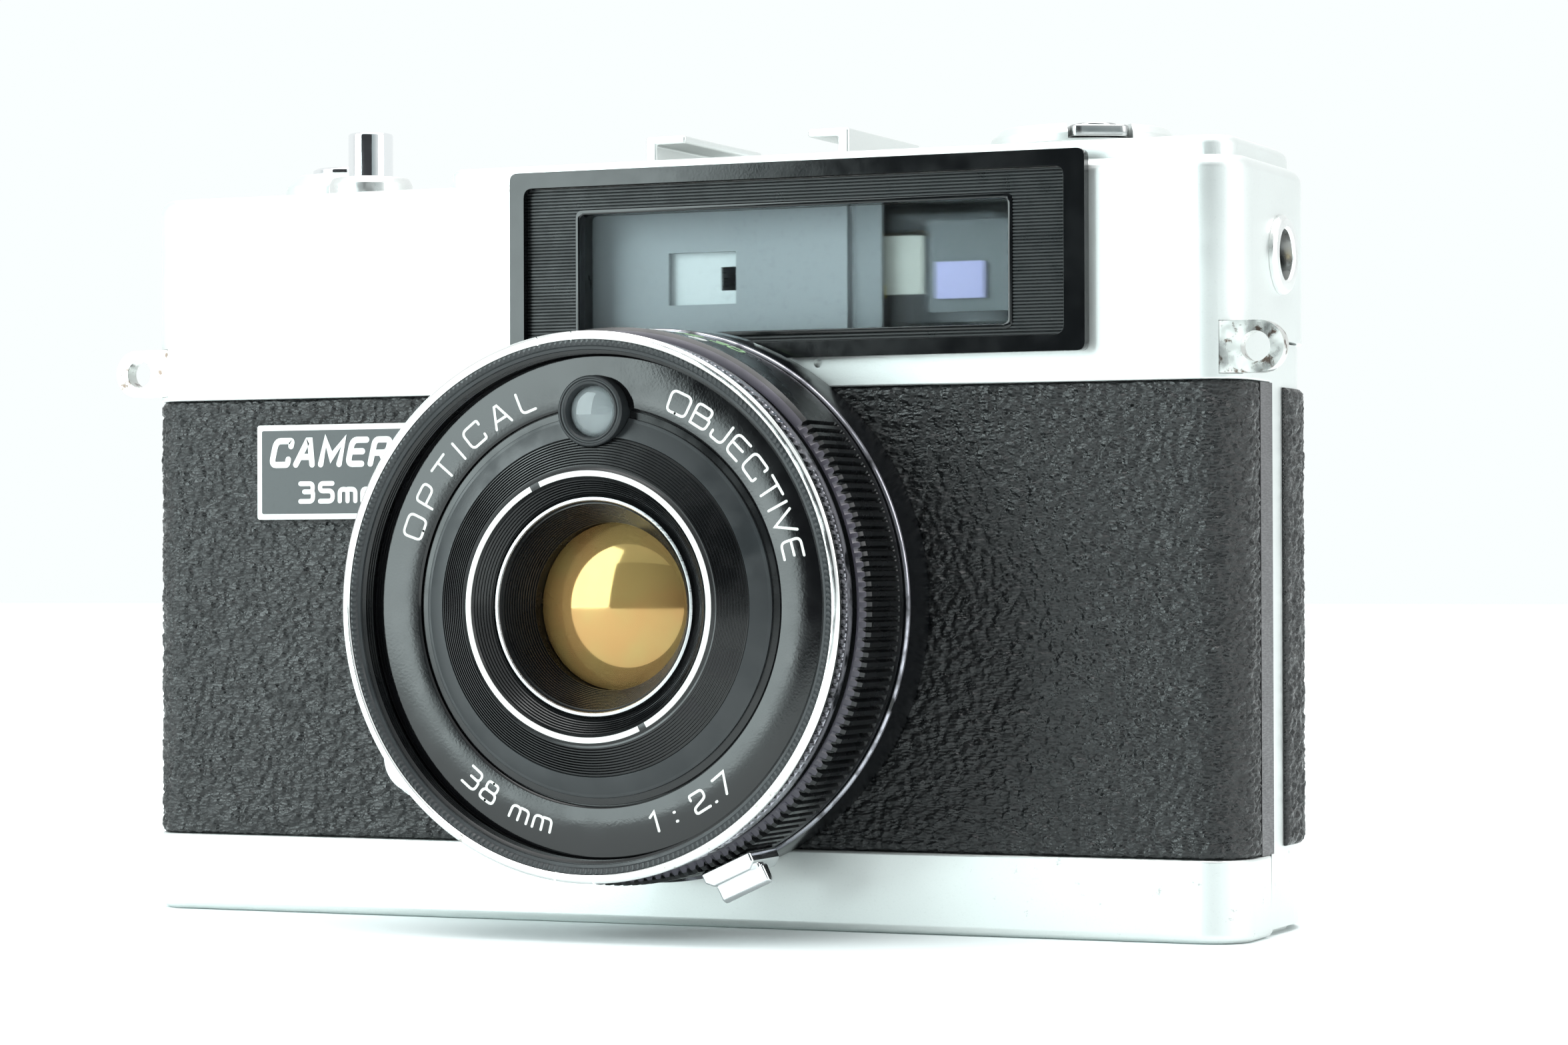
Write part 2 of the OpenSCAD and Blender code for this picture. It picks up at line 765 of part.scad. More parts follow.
// One of the two shutter blades: a half disc on an arm; up is 1 or -1
module shutter_blade(up, level) {
    pivot = blade_pivot * up;
    color("#26282b") on_lens_axis() translate([0, 0, level]) difference() {
        union() {
            intersection() {
                cylinder(r = 5.6, h = 0.2);
                translate([-10, up > 0 ? -0.4 : -9.6, -1]) cube([20, 10, 4]);
            }
            translate([pivot[0] / 2, pivot[1] / 2 + 1.6 * up, 0.1]) rotate([0, 0, 35])
                cube([12.5, 3, 0.2], center = true);
            translate([pivot[0], pivot[1], 0]) cylinder(r = 1.7, h = 0.2);
        }
        translate([pivot[0], pivot[1], -1]) cylinder(r = 0.5, h = 3);
    }
}
module upper_blade() { shutter_blade(1, 5); }
module lower_blade() { shutter_blade(-1, 5.5); }

module meter_bezel() {
    color("#101112") on_lens_axis() translate([0, meter_up, 0]) difference() {
        translate([0, 0, barrel_floor]) cylinder(r = 3.2, h = 2);
        cylinder(r = 2.3, h = 30);
    }
}

module meter_glass() {
    color([0.8, 0.9, 0.95, 0.5]) on_lens_axis() translate([0, meter_up, 16.6]) cylinder(r = 2.3, h = 0.8);
}

module meter_cell() {
    color("darkgoldenrod") on_lens_axis() translate([0, meter_up, 14.4]) cylinder(r = 2.55, h = 1.2);
}

module galvanometer() {
    color("#6d7073") difference() {
        union() {
            post(meter_x, meter_y, 4.4, casting_high, 63);
            block([meter_x - 4, meter_y - 5, casting_high], [meter_x + 4, meter_y + 7, 56]);
        }
        post(meter_x, meter_y, 0.4 + run, 60, big);
    }
}

module meter_needle() {
    color("#c4502e") {
        post(meter_x, meter_y, 0.4, 60.5, 64.4);
        translate([meter_x, meter_y, 64]) rotate([0, 0, -25]) block([-3, -0.35, 0], [13, 0.35, 0.4]);
    }
}

// ---- Base fittings ----

module battery() {
    color("silver") {
        post(battery_x, battery_y, 5.8, 1.7, 5.6);
        post(battery_x, battery_y, 4.6, 5.6 - eps, 6.6);
    }
}

module battery_cover() {
    color("gainsboro") difference() {
        post(battery_x, battery_y, 7.2, 0.05, 1.6);
        translate([battery_x, battery_y, 0]) cube([10, 1.4, 1.4], center = true);
    }
}

module tripod_socket() {
    color("silver") difference() {
        post(0, 0, 5.95, 0, casting_low);
        post(0, 0, 3.175, -1, 4.8);
    }
}

module rewind_button() {
    color("gainsboro") post(sprocket_x, sprocket_y, 1.9, 0.1, 1.6);
}

body_casting();
chassis_floor();
chassis_roof();
bottom_cover();
top_cover();
front_leatherette();
light_seals();
cover_screws();
back_door();
door_leatherette();
pressure_plate();
pressure_spring();
hinge_pin();
door_latch();
finder_frame();
finder_glass();
frame_mask();
finder_lens();
beam_splitter();
rangefinder_arm();
eyepiece_bezel();
eyepiece_lens();
accessory_shoe();
strap_lugs();
sync_socket();
sync_contact();
nameplate();
self_timer_lever();
shutter_collar();
shutter_button();
button_spring();
counter_dial();
counter_window();
wind_lever();
wind_cap();
take_up_spool();
sprocket();
rewind_shaft();
rewind_knob();
rewind_crank();
lens_base();
focus_ring();
focus_tab();
shutter_housing();
front_barrel();
film_speed_ring();
chrome_rim();
name_ring();
lens_cell();
front_element();
rear_element();
upper_blade();
lower_blade();
meter_bezel();
meter_glass();
meter_cell();
galvanometer();
meter_needle();
battery();
battery_cover();
tripod_socket();
rewind_button();
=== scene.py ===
"""The looks of a 35 mm rangefinder camera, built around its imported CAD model.

Shapes are worked out in millimetres in the model's frame (+X to the viewer's right, -Y out of the
lens, +Z up, origin at the tripod socket) and become metres when an object is made.
"""

import json
import math

import bmesh
import bpy
import numpy as np
from mathutils import Matrix, Vector

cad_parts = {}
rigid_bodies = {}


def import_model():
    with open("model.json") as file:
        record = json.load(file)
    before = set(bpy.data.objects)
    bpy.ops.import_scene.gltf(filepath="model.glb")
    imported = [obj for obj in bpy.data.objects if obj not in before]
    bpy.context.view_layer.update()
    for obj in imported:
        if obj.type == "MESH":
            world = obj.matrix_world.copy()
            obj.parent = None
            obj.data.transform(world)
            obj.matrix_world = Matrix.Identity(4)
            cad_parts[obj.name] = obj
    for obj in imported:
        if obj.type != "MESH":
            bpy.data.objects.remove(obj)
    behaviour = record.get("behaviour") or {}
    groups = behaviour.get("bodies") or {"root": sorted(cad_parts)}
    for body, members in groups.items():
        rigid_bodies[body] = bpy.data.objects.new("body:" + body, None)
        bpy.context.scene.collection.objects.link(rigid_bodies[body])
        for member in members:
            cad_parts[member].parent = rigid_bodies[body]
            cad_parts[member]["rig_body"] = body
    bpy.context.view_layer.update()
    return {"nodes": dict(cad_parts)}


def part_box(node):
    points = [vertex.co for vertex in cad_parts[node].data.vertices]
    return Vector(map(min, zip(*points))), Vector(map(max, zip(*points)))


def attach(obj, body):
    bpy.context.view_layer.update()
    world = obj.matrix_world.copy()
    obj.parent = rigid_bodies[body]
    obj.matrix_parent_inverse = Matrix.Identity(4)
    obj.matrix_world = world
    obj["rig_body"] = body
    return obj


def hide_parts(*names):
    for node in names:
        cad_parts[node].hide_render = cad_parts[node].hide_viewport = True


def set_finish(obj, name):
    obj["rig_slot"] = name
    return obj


MM = 0.001

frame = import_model()
nodes = frame["nodes"]


def corners(name):
    """The lowest and highest corner of a CAD node, in millimetres."""
    low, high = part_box(name)
    return np.array(low) / MM, np.array(high) / MM


def middle(name):
    low, high = corners(name)
    return (low + high) / 2


# ---- Places read from the frame ----

top_low, top_high = corners("top_cover")
HALF_W, FRONT_Y, BACK_Y = top_high[0], top_low[1], top_high[1]
BAND_TOP, TIER_Z = top_low[2], top_high[2]
DECK_Z = TIER_Z - 1.8
BASE_H = corners("bottom_cover")[1][2]
FRONT_R, BACK_R = 4.0, 13.0

rim_low, rim_high = corners("chrome_rim")
LENS_X, _, LENS_Z = middle("chrome_rim")
RIM_R = (rim_high[0] - rim_low[0]) / 2
LENS_FRONT = FRONT_Y - rim_low[1]

finder_low, finder_high = corners("finder_frame")
knob_low, knob_high = corners("rewind_knob")
KNOB_X, KNOB_Y, _ = middle("rewind_knob")
KNOB_R = (knob_high[0] - knob_low[0]) / 2
BUTTON_X, BUTTON_Y, _ = middle("shutter_button")

# ---- Places that several pieces share, in millimetres ----

WIND_X, WIND_Y = -44.5, FRONT_Y + 19.5
SYNC_Y, SYNC_Z = FRONT_Y + 12.1, 61.3
LUG_Z = 52.5
METER_Z = LENS_Z + 17.4
BORE_R = 21.3
FLANGE_R = 25.55
FOCUS_R = 25.1
NAME_FACE = 16.45
NAME_FOOT_R = 18.75
DOOR_SEAM = FRONT_Y + 8.9
FAR = 99
AXIS_R = 0.02  # how near a turned piece's profile comes to its axis


# ---- Making meshes ----


def face_outwards(mesh):
    shape = bmesh.new()
    shape.from_mesh(mesh)
    bmesh.ops.recalc_face_normals(shape, faces=shape.faces)
    shape.to_mesh(mesh)
    shape.free()


def make(name, points, faces, material, sharp=30.0):
    """A mesh object from points in millimetres; edges sharper than the angle in degrees stay crisp."""
    mesh = bpy.data.meshes.new(name)
    mesh.from_pydata((np.asarray(points, float) * MM).tolist(), [], [list(f) for f in faces])
    mesh.validate()
    face_outwards(mesh)
    mesh.shade_smooth()
    mesh.set_sharp_from_angle(angle=math.radians(sharp))
    obj = bpy.data.objects.new(name, mesh)
    bpy.context.scene.collection.objects.link(obj)
    if material is not None:
        mesh.materials.append(MATERIALS[material])
        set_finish(obj, SLOT_OF.get(material, material))
    return obj


def apply_modifiers(obj, sharp=30.0):
    """Turns what the modifiers make into the object's own mesh."""
    graph = bpy.context.evaluated_depsgraph_get()
    mesh = bpy.data.meshes.new_from_object(obj.evaluated_get(graph))
    obj.modifiers.clear()
    obj.data = mesh
    mesh.shade_smooth()
    mesh.set_sharp_from_angle(angle=math.radians(sharp))
    return obj


def carve(obj, cutters, operation="DIFFERENCE"):
    """Cuts the cutters away from the object, or joins them to it, and removes them."""
    for cutter in cutters:
        step = obj.modifiers.new("carve", "BOOLEAN")
        step.object = cutter
        step.operation = operation
        step.solver = "MANIFOLD"
    apply_modifiers(obj)
    for cutter in cutters:
        bpy.data.objects.remove(cutter)
    return obj


def soften(obj, width, segments=3, angle=35.0):
    """Rounds the object's sharp edges."""
    step = obj.modifiers.new("soften", "BEVEL")
    step.width = width * MM
    step.segments = segments
    step.limit_method = "ANGLE"
    step.angle_limit = math.radians(angle)
    step.use_clamp_overlap = True
    apply_modifiers(obj, sharp=40.0)
    return weigh(obj)


def weigh(obj):
    """Keeps large flat faces evenly shaded beside rounded edges."""
    step = obj.modifiers.new("even_shading", "WEIGHTED_NORMAL")
    step.keep_sharp = True
    step.weight = 60
    return obj


def stand_in(obj, *names):
    """The object rides with the CAD nodes that it replaces."""
    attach(obj, nodes[names[0]]["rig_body"])
    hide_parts(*names)
    return obj


def go_with(obj, name):
    """The object rides with a CAD node, which stays or is replaced by another piece."""
    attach(obj, nodes[name]["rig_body"])
    return obj


def fillet(points, radius, steps=4, closed=True):
    """The points with their corners rounded. A point's third value is its own radius."""
    done = []
    count = len(points)
    for i, point in enumerate(points):
        here = np.array(point[:2], float)
        wish = point[2] if len(point) > 2 else radius
        end = not closed and i in (0, count - 1)
        back = np.array(points[i - 1][:2], float) - here
        ahead = np.array(points[(i + 1) % count][:2], float) - here
        reach_back, reach_ahead = np.hypot(*back), np.hypot(*ahead)
        if end or wish <= 0 or min(reach_back, reach_ahead) < 1e-6:
            done.append(here)
            continue
        cosine = np.clip(back @ ahead / reach_back / reach_ahead, -1, 1)
        half = math.acos(cosine) / 2
        if half > 1.5:
            done.append(here)
            continue
        cut = min(wish / math.tan(half), 0.48 * reach_back, 0.48 * reach_ahead)
        start, stop = here + back / reach_back * cut, here + ahead / reach_ahead * cut
        for k in range(steps + 1):
            t = k / steps
            done.append((1 - t) ** 2 * start + 2 * t * (1 - t) * here + t * t * stop)
    return done


def ribs(start, stop, pitch, depth):
    """A zigzag between two profile points, with ribs of that pitch cut to that depth."""
    start, stop = np.array(start, float), np.array(stop, float)
    along = stop - start
    length = np.hypot(*along)
    count = max(1, round(length / pitch))
    inward = np.array([along[1], -along[0]]) / length * depth
    zigzag = []
    for k in range(count):
        for share, sunk in ((0.1, 0), (0.5, 0), (0.6, 1), (0.95, 1)):
            point = start + along * (k + share) / count + inward * sunk
            zigzag.append([point[0], point[1], 0])
    return zigzag


def lathe(profile, place, angles, wave=None, closed=True):
    """Points and faces of a turned shape. place(radius, angle, height) gives a point;
    wave(radius, height, angle) adds to the radius, for knurls and teeth."""
    profile = np.array([p[:2] for p in profile], float)
    rings, count = len(profile), len(angles)
    points = np.empty((rings, count, 3))
    for i, (radius, height) in enumerate(profile):
        radii = np.full(count, radius)
        if wave is not None:
            radii = radii + wave(radius, height, angles)
        points[i] = place(radii, angles, np.full(count, height))
    faces = []
    last = rings if closed else rings - 1
    for i in range(last):
        a, b = i * count, (i + 1) % rings * count
        for j in range(count):
            k = (j + 1) % count
            faces.append((a + j, a + k, b + k, b + j))
    points = points.reshape(-1, 3)
    if not closed:
        for i in (0, rings - 1):
            loop = list(range(i * count, (i + 1) * count))
            faces.append(loop if i else loop[::-1])
    return points, faces


def facing(x, z):
    """A place about an axis along Y; heights are y."""

    def place(radii, angles, heights):
        return np.stack([x + radii * np.cos(angles), heights, z + radii * np.sin(angles)], -1)

    return place


def ahead(x, z):
    """A place about an axis along Y; heights are distances in front of the body."""
    place = facing(x, z)
    return lambda radii, angles, heights: place(radii, angles, FRONT_Y - heights)


on_lens = ahead(LENS_X, LENS_Z)
on_meter = ahead(LENS_X, METER_Z)


def upright(x, y):
    """A place about an upright axis."""

    def place(radii, angles, heights):
        return np.stack([x + radii * np.cos(angles), y + radii * np.sin(angles), heights], -1)

    return place


def sideways(y, z):
    """A place about an axis along +X."""

    def place(radii, angles, heights):
        return np.stack([heights, y + radii * np.cos(angles), z + radii * np.sin(angles)], -1)

    return place


def turn(count):
    return np.linspace(0, 2 * math.pi, count, endpoint=False)


def turned(name, profile, place, material, count=192, wave=None, closed=True, sharp=30.0, angles=None):
    """A turned piece. An open profile is closed by a flat face at each end."""
    angles = turn(count) if angles is None else angles
    return make(name, *lathe(profile, place, angles, wave, closed), material, sharp)


def loft(rings):
    """Points and faces of a closed skin over rings with the same number of points."""
    count = len(rings[0])
    points = np.concatenate([np.asarray(ring, float) for ring in rings])
    faces = []
    for i in range(len(rings) - 1):
        a, b = i * count, (i + 1) * count
        for j in range(count):
            k = (j + 1) % count
            faces.append((a + j, a + k, b + k, b + j))
    faces.append(list(range(count))[::-1])
    faces.append(list(range((len(rings) - 1) * count, len(rings) * count)))
    return points, faces


def raised(ring, height):
    ring = np.asarray(ring, float)
    return np.column_stack([ring, np.full(len(ring), height)])


def rounded_box(x_range, y_range, radii, inset=0.0, steps=10):
    """A rectangle seen from above, anticlockwise, with a radius for each corner:
    right front, right back, left back, left front."""
    (x0, x1), (y0, y1) = x_range, y_range
    centres = (
        (x1, y0, -1, 1, -90),
        (x1, y1, -1, -1, 0),
        (x0, y1, 1, -1, 90),
        (x0, y0, 1, 1, 180),
    )
    ring = []
    for (x, y, sx, sy, start), radius in zip(centres, radii):
        turn_r = max(radius - inset, 0.02)
        for k in range(steps + 1):
            angle = math.radians(start + 90 * k / steps)
            ring.append(
                (x + sx * radius + turn_r * math.cos(angle), y + sy * radius + turn_r * math.sin(angle))
            )
    return ring


def body_ring(inset):
    """The body's outline seen from above."""
    radii = (FRONT_R, BACK_R, BACK_R, FRONT_R)
    return rounded_box((-HALF_W, HALF_W), (FRONT_Y, BACK_Y), radii, inset, steps=14)


def tier_ring(inset):
    """The outline of the raised deck, seen from above."""
    rim = 1.3
    left = corners("top_cover")[0][0] + 32.6
    radii = (FRONT_R - rim, BACK_R - rim, 2.0, 2.0)
    box = (left, HALF_W - rim), (FRONT_Y + rim, BACK_Y - rim)
    return rounded_box(*box, radii, inset, steps=12)


def stack(ring_at, low, high, top_round, low_round=0.15, steps=6):
    """A solid between two heights whose outline is ring_at(inset), rounded above and below."""
    rings = []
    for k in range(steps + 1):
        angle = math.pi / 2 * (1 - k / steps)
        sunk = low_round * (1 - math.cos(angle))
        rings.append(raised(ring_at(sunk), low + low_round * (1 - math.sin(angle))))
    for k in range(steps + 1):
        angle = math.pi / 2 * k / steps
        sunk = top_round * (1 - math.cos(angle))
        rings.append(raised(ring_at(sunk), high - top_round * (1 - math.sin(angle))))
    return loft(rings)


def block(low, high, name="block", material=None):
    """A box between two corners."""
    (x0, y0, z0), (x1, y1, z1) = low, high
    ring = [(x0, y0), (x1, y0), (x1, y1), (x0, y1)]
    return make(name, *loft([raised(ring, z0), raised(ring, z1)]), material)


def rod(place, radius, low, high, count=96):
    """A plain cylinder, for cutting."""
    profile = [[radius, low], [radius, high]]
    return make("rod", *lathe(profile, place, turn(count), closed=False), None)


def prism(name, ring, axis, low, high, material):
    """A flat outline pushed along an axis. The outline holds the other two coordinates, in order."""
    ends = [[np.insert(np.array(p, float), axis, end) for p in ring] for end in (low, high)]
    return make(name, *loft(ends), material)


def rectangle(x0, x1, z0, z1, radius, steps=6):
    """A rectangle's outline with rounded corners."""
    return fillet([(x0, z0), (x1, z0), (x1, z1), (x0, z1)], radius, steps)


# ---- Procedural noise for meshes ----


def smooth_noise(u, v, seed):
    """Value noise from 0 to 1, one lattice cell per unit."""
    table = np.random.default_rng(seed).random((128, 128))
    iu, iv = np.floor(u).astype(int), np.floor(v).astype(int)
    fu, fv = u - iu, v - iv
    fu, fv = fu * fu * (3 - 2 * fu), fv * fv * (3 - 2 * fv)

    def at(a, b):
        return table[(iu + a) % 128, (iv + b) % 128]

    low = at(0, 0) * (1 - fu) + at(1, 0) * fu
    high = at(0, 1) * (1 - fu) + at(1, 1) * fu
    return low * (1 - fv) + high * fv


def cell_noise(u, v, seed):
    """Distances to the nearest and the second nearest of one random point per unit cell."""
    table = np.random.default_rng(seed).random((128, 128, 2))
    iu, iv = np.floor(u).astype(int), np.floor(v).astype(int)
    first = np.full(u.shape, 9.0)
    second = np.full(u.shape, 9.0)
    for a in (-1, 0, 1):
        for b in (-1, 0, 1):
            spot = table[(iu + a) % 128, (iv + b) % 128]
            away = np.hypot(iu + a + spot[..., 0] - u, iv + b + spot[..., 1] - v)
            second = np.minimum(np.maximum(first, away), second)
            first = np.minimum(first, away)
    return first, second


# ---- Materials ----

MATERIALS = {}
SLOT_OF = {}


class Finish:
    """A Principled material that is built up from noise in the object's own coordinates."""

    def __init__(self, name, colour, roughness, metallic=0.0, slot=None, **fixed):
        self.material = bpy.data.materials.new(name)
        self.material.use_nodes = True
        self.tree = self.material.node_tree
        self.shader = self.tree.nodes["Principled BSDF"]
        self.base = (*colour, 1)
        fixed.update(Base_Color=self.base, Roughness=roughness, Metallic=metallic)
        for socket, value in fixed.items():
            self.shader.inputs[socket.replace("_", " ")].default_value = value
        self.colour = None
        self.height = None
        self.place = self.tree.nodes.new("ShaderNodeTexCoord").outputs["Object"]
        MATERIALS[name] = self.material
        if slot:
            SLOT_OF[name] = slot

    def link(self, source, target):
        self.tree.links.new(source, target)

    def scaled(self, size, stretch=(1, 1, 1)):
        """The object's coordinates, so that one unit is that many millimetres."""
        node = self.tree.nodes.new("ShaderNodeMapping")
        node.inputs["Scale"].default_value = [1 / (size * MM * s) for s in stretch]
        self.link(self.place, node.inputs["Vector"])
        return node.outputs["Vector"]

    def noise(self, size, stretch=(1, 1, 1), detail=2.0, roughness=0.5):
        node = self.tree.nodes.new("ShaderNodeTexNoise")
        node.inputs["Scale"].default_value = 1.0
        node.inputs["Detail"].default_value = detail
        node.inputs["Roughness"].default_value = roughness
        self.link(self.scaled(size, stretch), node.inputs["Vector"])
        return node.outputs["Fac"]

    def cells(self, size, stretch=(1, 1, 1)):
        node = self.tree.nodes.new("ShaderNodeTexVoronoi")
        node.inputs["Scale"].default_value = 1.0
        self.link(self.scaled(size, stretch), node.inputs["Vector"])
        return node.outputs["Distance"]

    def attribute(self, name):
        node = self.tree.nodes.new("ShaderNodeAttribute")
        node.attribute_name = name
        return node.outputs["Fac"]

    def axis(self, index):
        """One of the object's coordinates, in metres."""
        node = self.tree.nodes.new("ShaderNodeSeparateXYZ")
        self.link(self.place, node.inputs["Vector"])
        return node.outputs[index]

    def math(self, operation, a, b=0.0):
        node = self.tree.nodes.new("ShaderNodeMath")
        node.operation = operation
        for socket, value in zip(node.inputs, (a, b)):
            if isinstance(value, (int, float)):
                socket.default_value = value
            else:
                self.link(value, socket)
        return node.outputs[0]

    def span(self, source, low, high, to_low=0.0, to_high=1.0):
        """The source's range from low to high, made into another range, and held at its ends."""
        node = self.tree.nodes.new("ShaderNodeMapRange")
        node.interpolation_type = "SMOOTHSTEP"
        values = {"From Min": low, "From Max": high, "To Min": to_low, "To Max": to_high}
        for socket, value in values.items():
            node.inputs[socket].default_value = value
        self.link(source, node.inputs["Value"])
        return node.outputs["Result"]

    def tint(self, share, colour):
        """Mixes a colour in where share is 1."""
        node = self.tree.nodes.new("ShaderNodeMix")
        node.data_type = "RGBA"
        self.link(share, node.inputs["Factor"])
        if self.colour is None:
            node.inputs[6].default_value = self.base
        else:
            self.link(self.colour, node.inputs[6])
        node.inputs[7].default_value = (*colour, 1)
        self.colour = node.outputs[2]
        self.link(self.colour, self.shader.inputs["Base Color"])
        return self

    def rough(self, source, low, high):
        self.link(self.span(source, 0.3, 0.7, low, high), self.shader.inputs["Roughness"])
        return self

    def metal(self, share, low, high):
        self.link(self.span(share, 0, 1, low, high), self.shader.inputs["Metallic"])
        return self

    def bump(self, source, depth):
        """Relief of that depth in millimetres where the source goes from 0 to 1."""
        node = self.tree.nodes.new("ShaderNodeBump")
        node.inputs["Distance"].default_value = depth * MM
        node.inputs["Strength"].default_value = 1.0
        self.link(source, node.inputs["Height"])
        if self.height is not None:
            self.link(self.height, node.inputs["Normal"])
        self.height = node.outputs["Normal"]
        self.link(self.height, self.shader.inputs["Normal"])
        return self


def satin_covers():
    """Satin chromed covers: fine pearly grain, smudges, and spots of wear."""
    f = Finish("satin_silver", (0.725, 0.75, 0.74), 0.42, 0.82)
    grain = f.noise(0.16, detail=3)
    smudge = f.noise(9, detail=3)
    f.tint(f.span(f.noise(28, detail=2), 0.35, 0.75, 0, 0.25), (0.70, 0.72, 0.70))
    f.tint(f.span(f.noise(0.22, detail=2), 0.55, 0.8, 0, 0.25), (0.58, 0.60, 0.59))
    # handling marks near the right end of the base
    near_base = f.span(f.axis(2), 0.0085, 0.0065)
    near_end = f.span(f.axis(0), 0.024, 0.040)
    worn = f.math("MULTIPLY", near_base, near_end)
    spots = f.math("MULTIPLY", worn, f.span(f.noise(1.6, detail=5, roughness=0.75), 0.63, 0.70))
    f.tint(spots, (0.45, 0.45, 0.44))
    f.rough(smudge, 0.38, 0.45)
    f.bump(grain, 0.006)


def plated(name, roughness, slot=None, colour=(0.86, 0.87, 0.88)):
    """Bright plated metal with faint scratches."""
    f = Finish(name, colour, roughness, 1.0, slot)
    f.tint(f.span(f.noise(1.6, detail=4), 0.55, 0.8, 0, 0.4), tuple(0.75 * c for c in colour))
    f.rough(f.noise(2.5, detail=3), roughness * 0.7, roughness * 1.6)
    f.bump(f.noise(0.35, (1, 1, 8), detail=2), 0.002)
    return f


def worn_rim():
    """The lens's bright rim, dull where its plating has gone."""
    f = plated("worn_chrome", 0.12, "chrome", (0.90, 0.90, 0.89))
    patches = f.span(f.noise(2.6, detail=4, roughness=0.65), 0.62, 0.70)
    f.tint(patches, (0.42, 0.40, 0.36))


def leatherette():
    """Black vinyl with a leather grain. Its coarse grain is in the mesh."""
    f = Finish("leatherette", (0.005, 0.0055, 0.006), 0.38, Specular_IOR_Level=0.52)
    f.tint(f.span(f.noise(0.5, detail=3), 0.5, 0.75, 0, 0.6), (0.012, 0.013, 0.014))
    f.rough(f.noise(0.9, (1.6, 1, 1), detail=3), 0.22, 0.46)
    f.bump(f.cells(0.40, (1.5, 1.2, 0.7)), 0.12)
    f.bump(f.noise(0.16, detail=3), 0.035)


def lacquer(name, colour, roughness, slot=None, grain=0.0015):
    """Black lacquer on metal, a little lighter in soft patches; wearing() rubs it through to bright
    metal.
    """
    f = Finish(name, colour, roughness, 0.0, slot)
    f.tint(f.span(f.noise(5, detail=3), 0.5, 0.8, 0, 0.35), tuple(2.2 * c + 0.002 for c in colour))
    f.rough(f.noise(3.0, detail=4), roughness * 0.75, roughness * 1.35)
    f.bump(f.noise(0.25, detail=2), grain)
    return f


def wearing(name, colour, roughness, slot):
    """Lacquer that is rubbed through to bright metal where the mesh's wear attribute says."""
    f = lacquer(name, colour, roughness, slot)
    rubbed = f.math("MULTIPLY", f.attribute("wear"), f.span(f.noise(3.0, detail=3), 0.30, 0.50))
    f.tint(rubbed, (0.46, 0.45, 0.50))
    f.metal(rubbed, 0.0, 1.0)


def plastic(name, colour, roughness, slot=None):
    """Moulded plastic with a faint texture and some dust."""
    f = Finish(name, colour, roughness, 0.0, slot)
    f.tint(f.span(f.noise(0.5, detail=4, roughness=0.7), 0.68, 0.8, 0, 0.5), (0.25, 0.25, 0.25))
    f.rough(f.noise(2.0, detail=3), roughness * 0.8, roughness * 1.3)
    f.bump(f.noise(0.12, detail=2), 0.004)
    return f


def machined(name, colour, roughness, slot=None):
    """Plain turned or milled metal."""
    f = Finish(name, colour, roughness, 1.0, slot)
    f.tint(f.span(f.noise(3, detail=3), 0.4, 0.7, 0, 0.5), tuple(0.7 * c for c in colour))
    f.rough(f.noise(0.8, (1, 1, 0.15), detail=3), roughness * 0.8, roughness * 1.3)
    f.bump(f.noise(0.3, (4, 4, 0.4), detail=2), 0.002)
    return f


def glass(name, colour, roughness, transmission, slot=None, ior=1.5, alpha=1.0):
    """Glass with faint smears."""
    f = Finish(name, colour, roughness, 0.0, slot, Transmission_Weight=transmission, IOR=ior,
        Alpha=alpha)
    f.rough(f.noise(4, detail=3), roughness, roughness + 0.015)
    f.bump(f.noise(6, detail=1), 0.001)
    return f


def coating(name, tint, alpha, roughness=0.03, slot="coated_glass"):
    """A coated lens surface: it mirrors its own colour and lets the rest through."""
    f = Finish(name, tint, roughness, 0.55, slot, Alpha=alpha)
    f.tint(f.span(f.noise(4.5, detail=2), 0.35, 0.7, 0, 0.6), tuple(c * k for c,
        k in zip(tint, (1.1, 0.78, 0.8))))
    f.rough(f.noise(3, detail=3), roughness, roughness + 0.04)
    return f


def paint(name, colour, roughness, slot):
    """Printed or filled paint, slightly uneven; it also makes the painted reflections in the finder."""
    f = Finish(name, colour, roughness, 0.0, slot)
    f.tint(f.span(f.noise(0.6, detail=3), 0.5, 0.8, 0, 0.4), tuple(0.8 * c for c in colour))
    f.bump(f.noise(0.15, detail=2), 0.003)
    return f


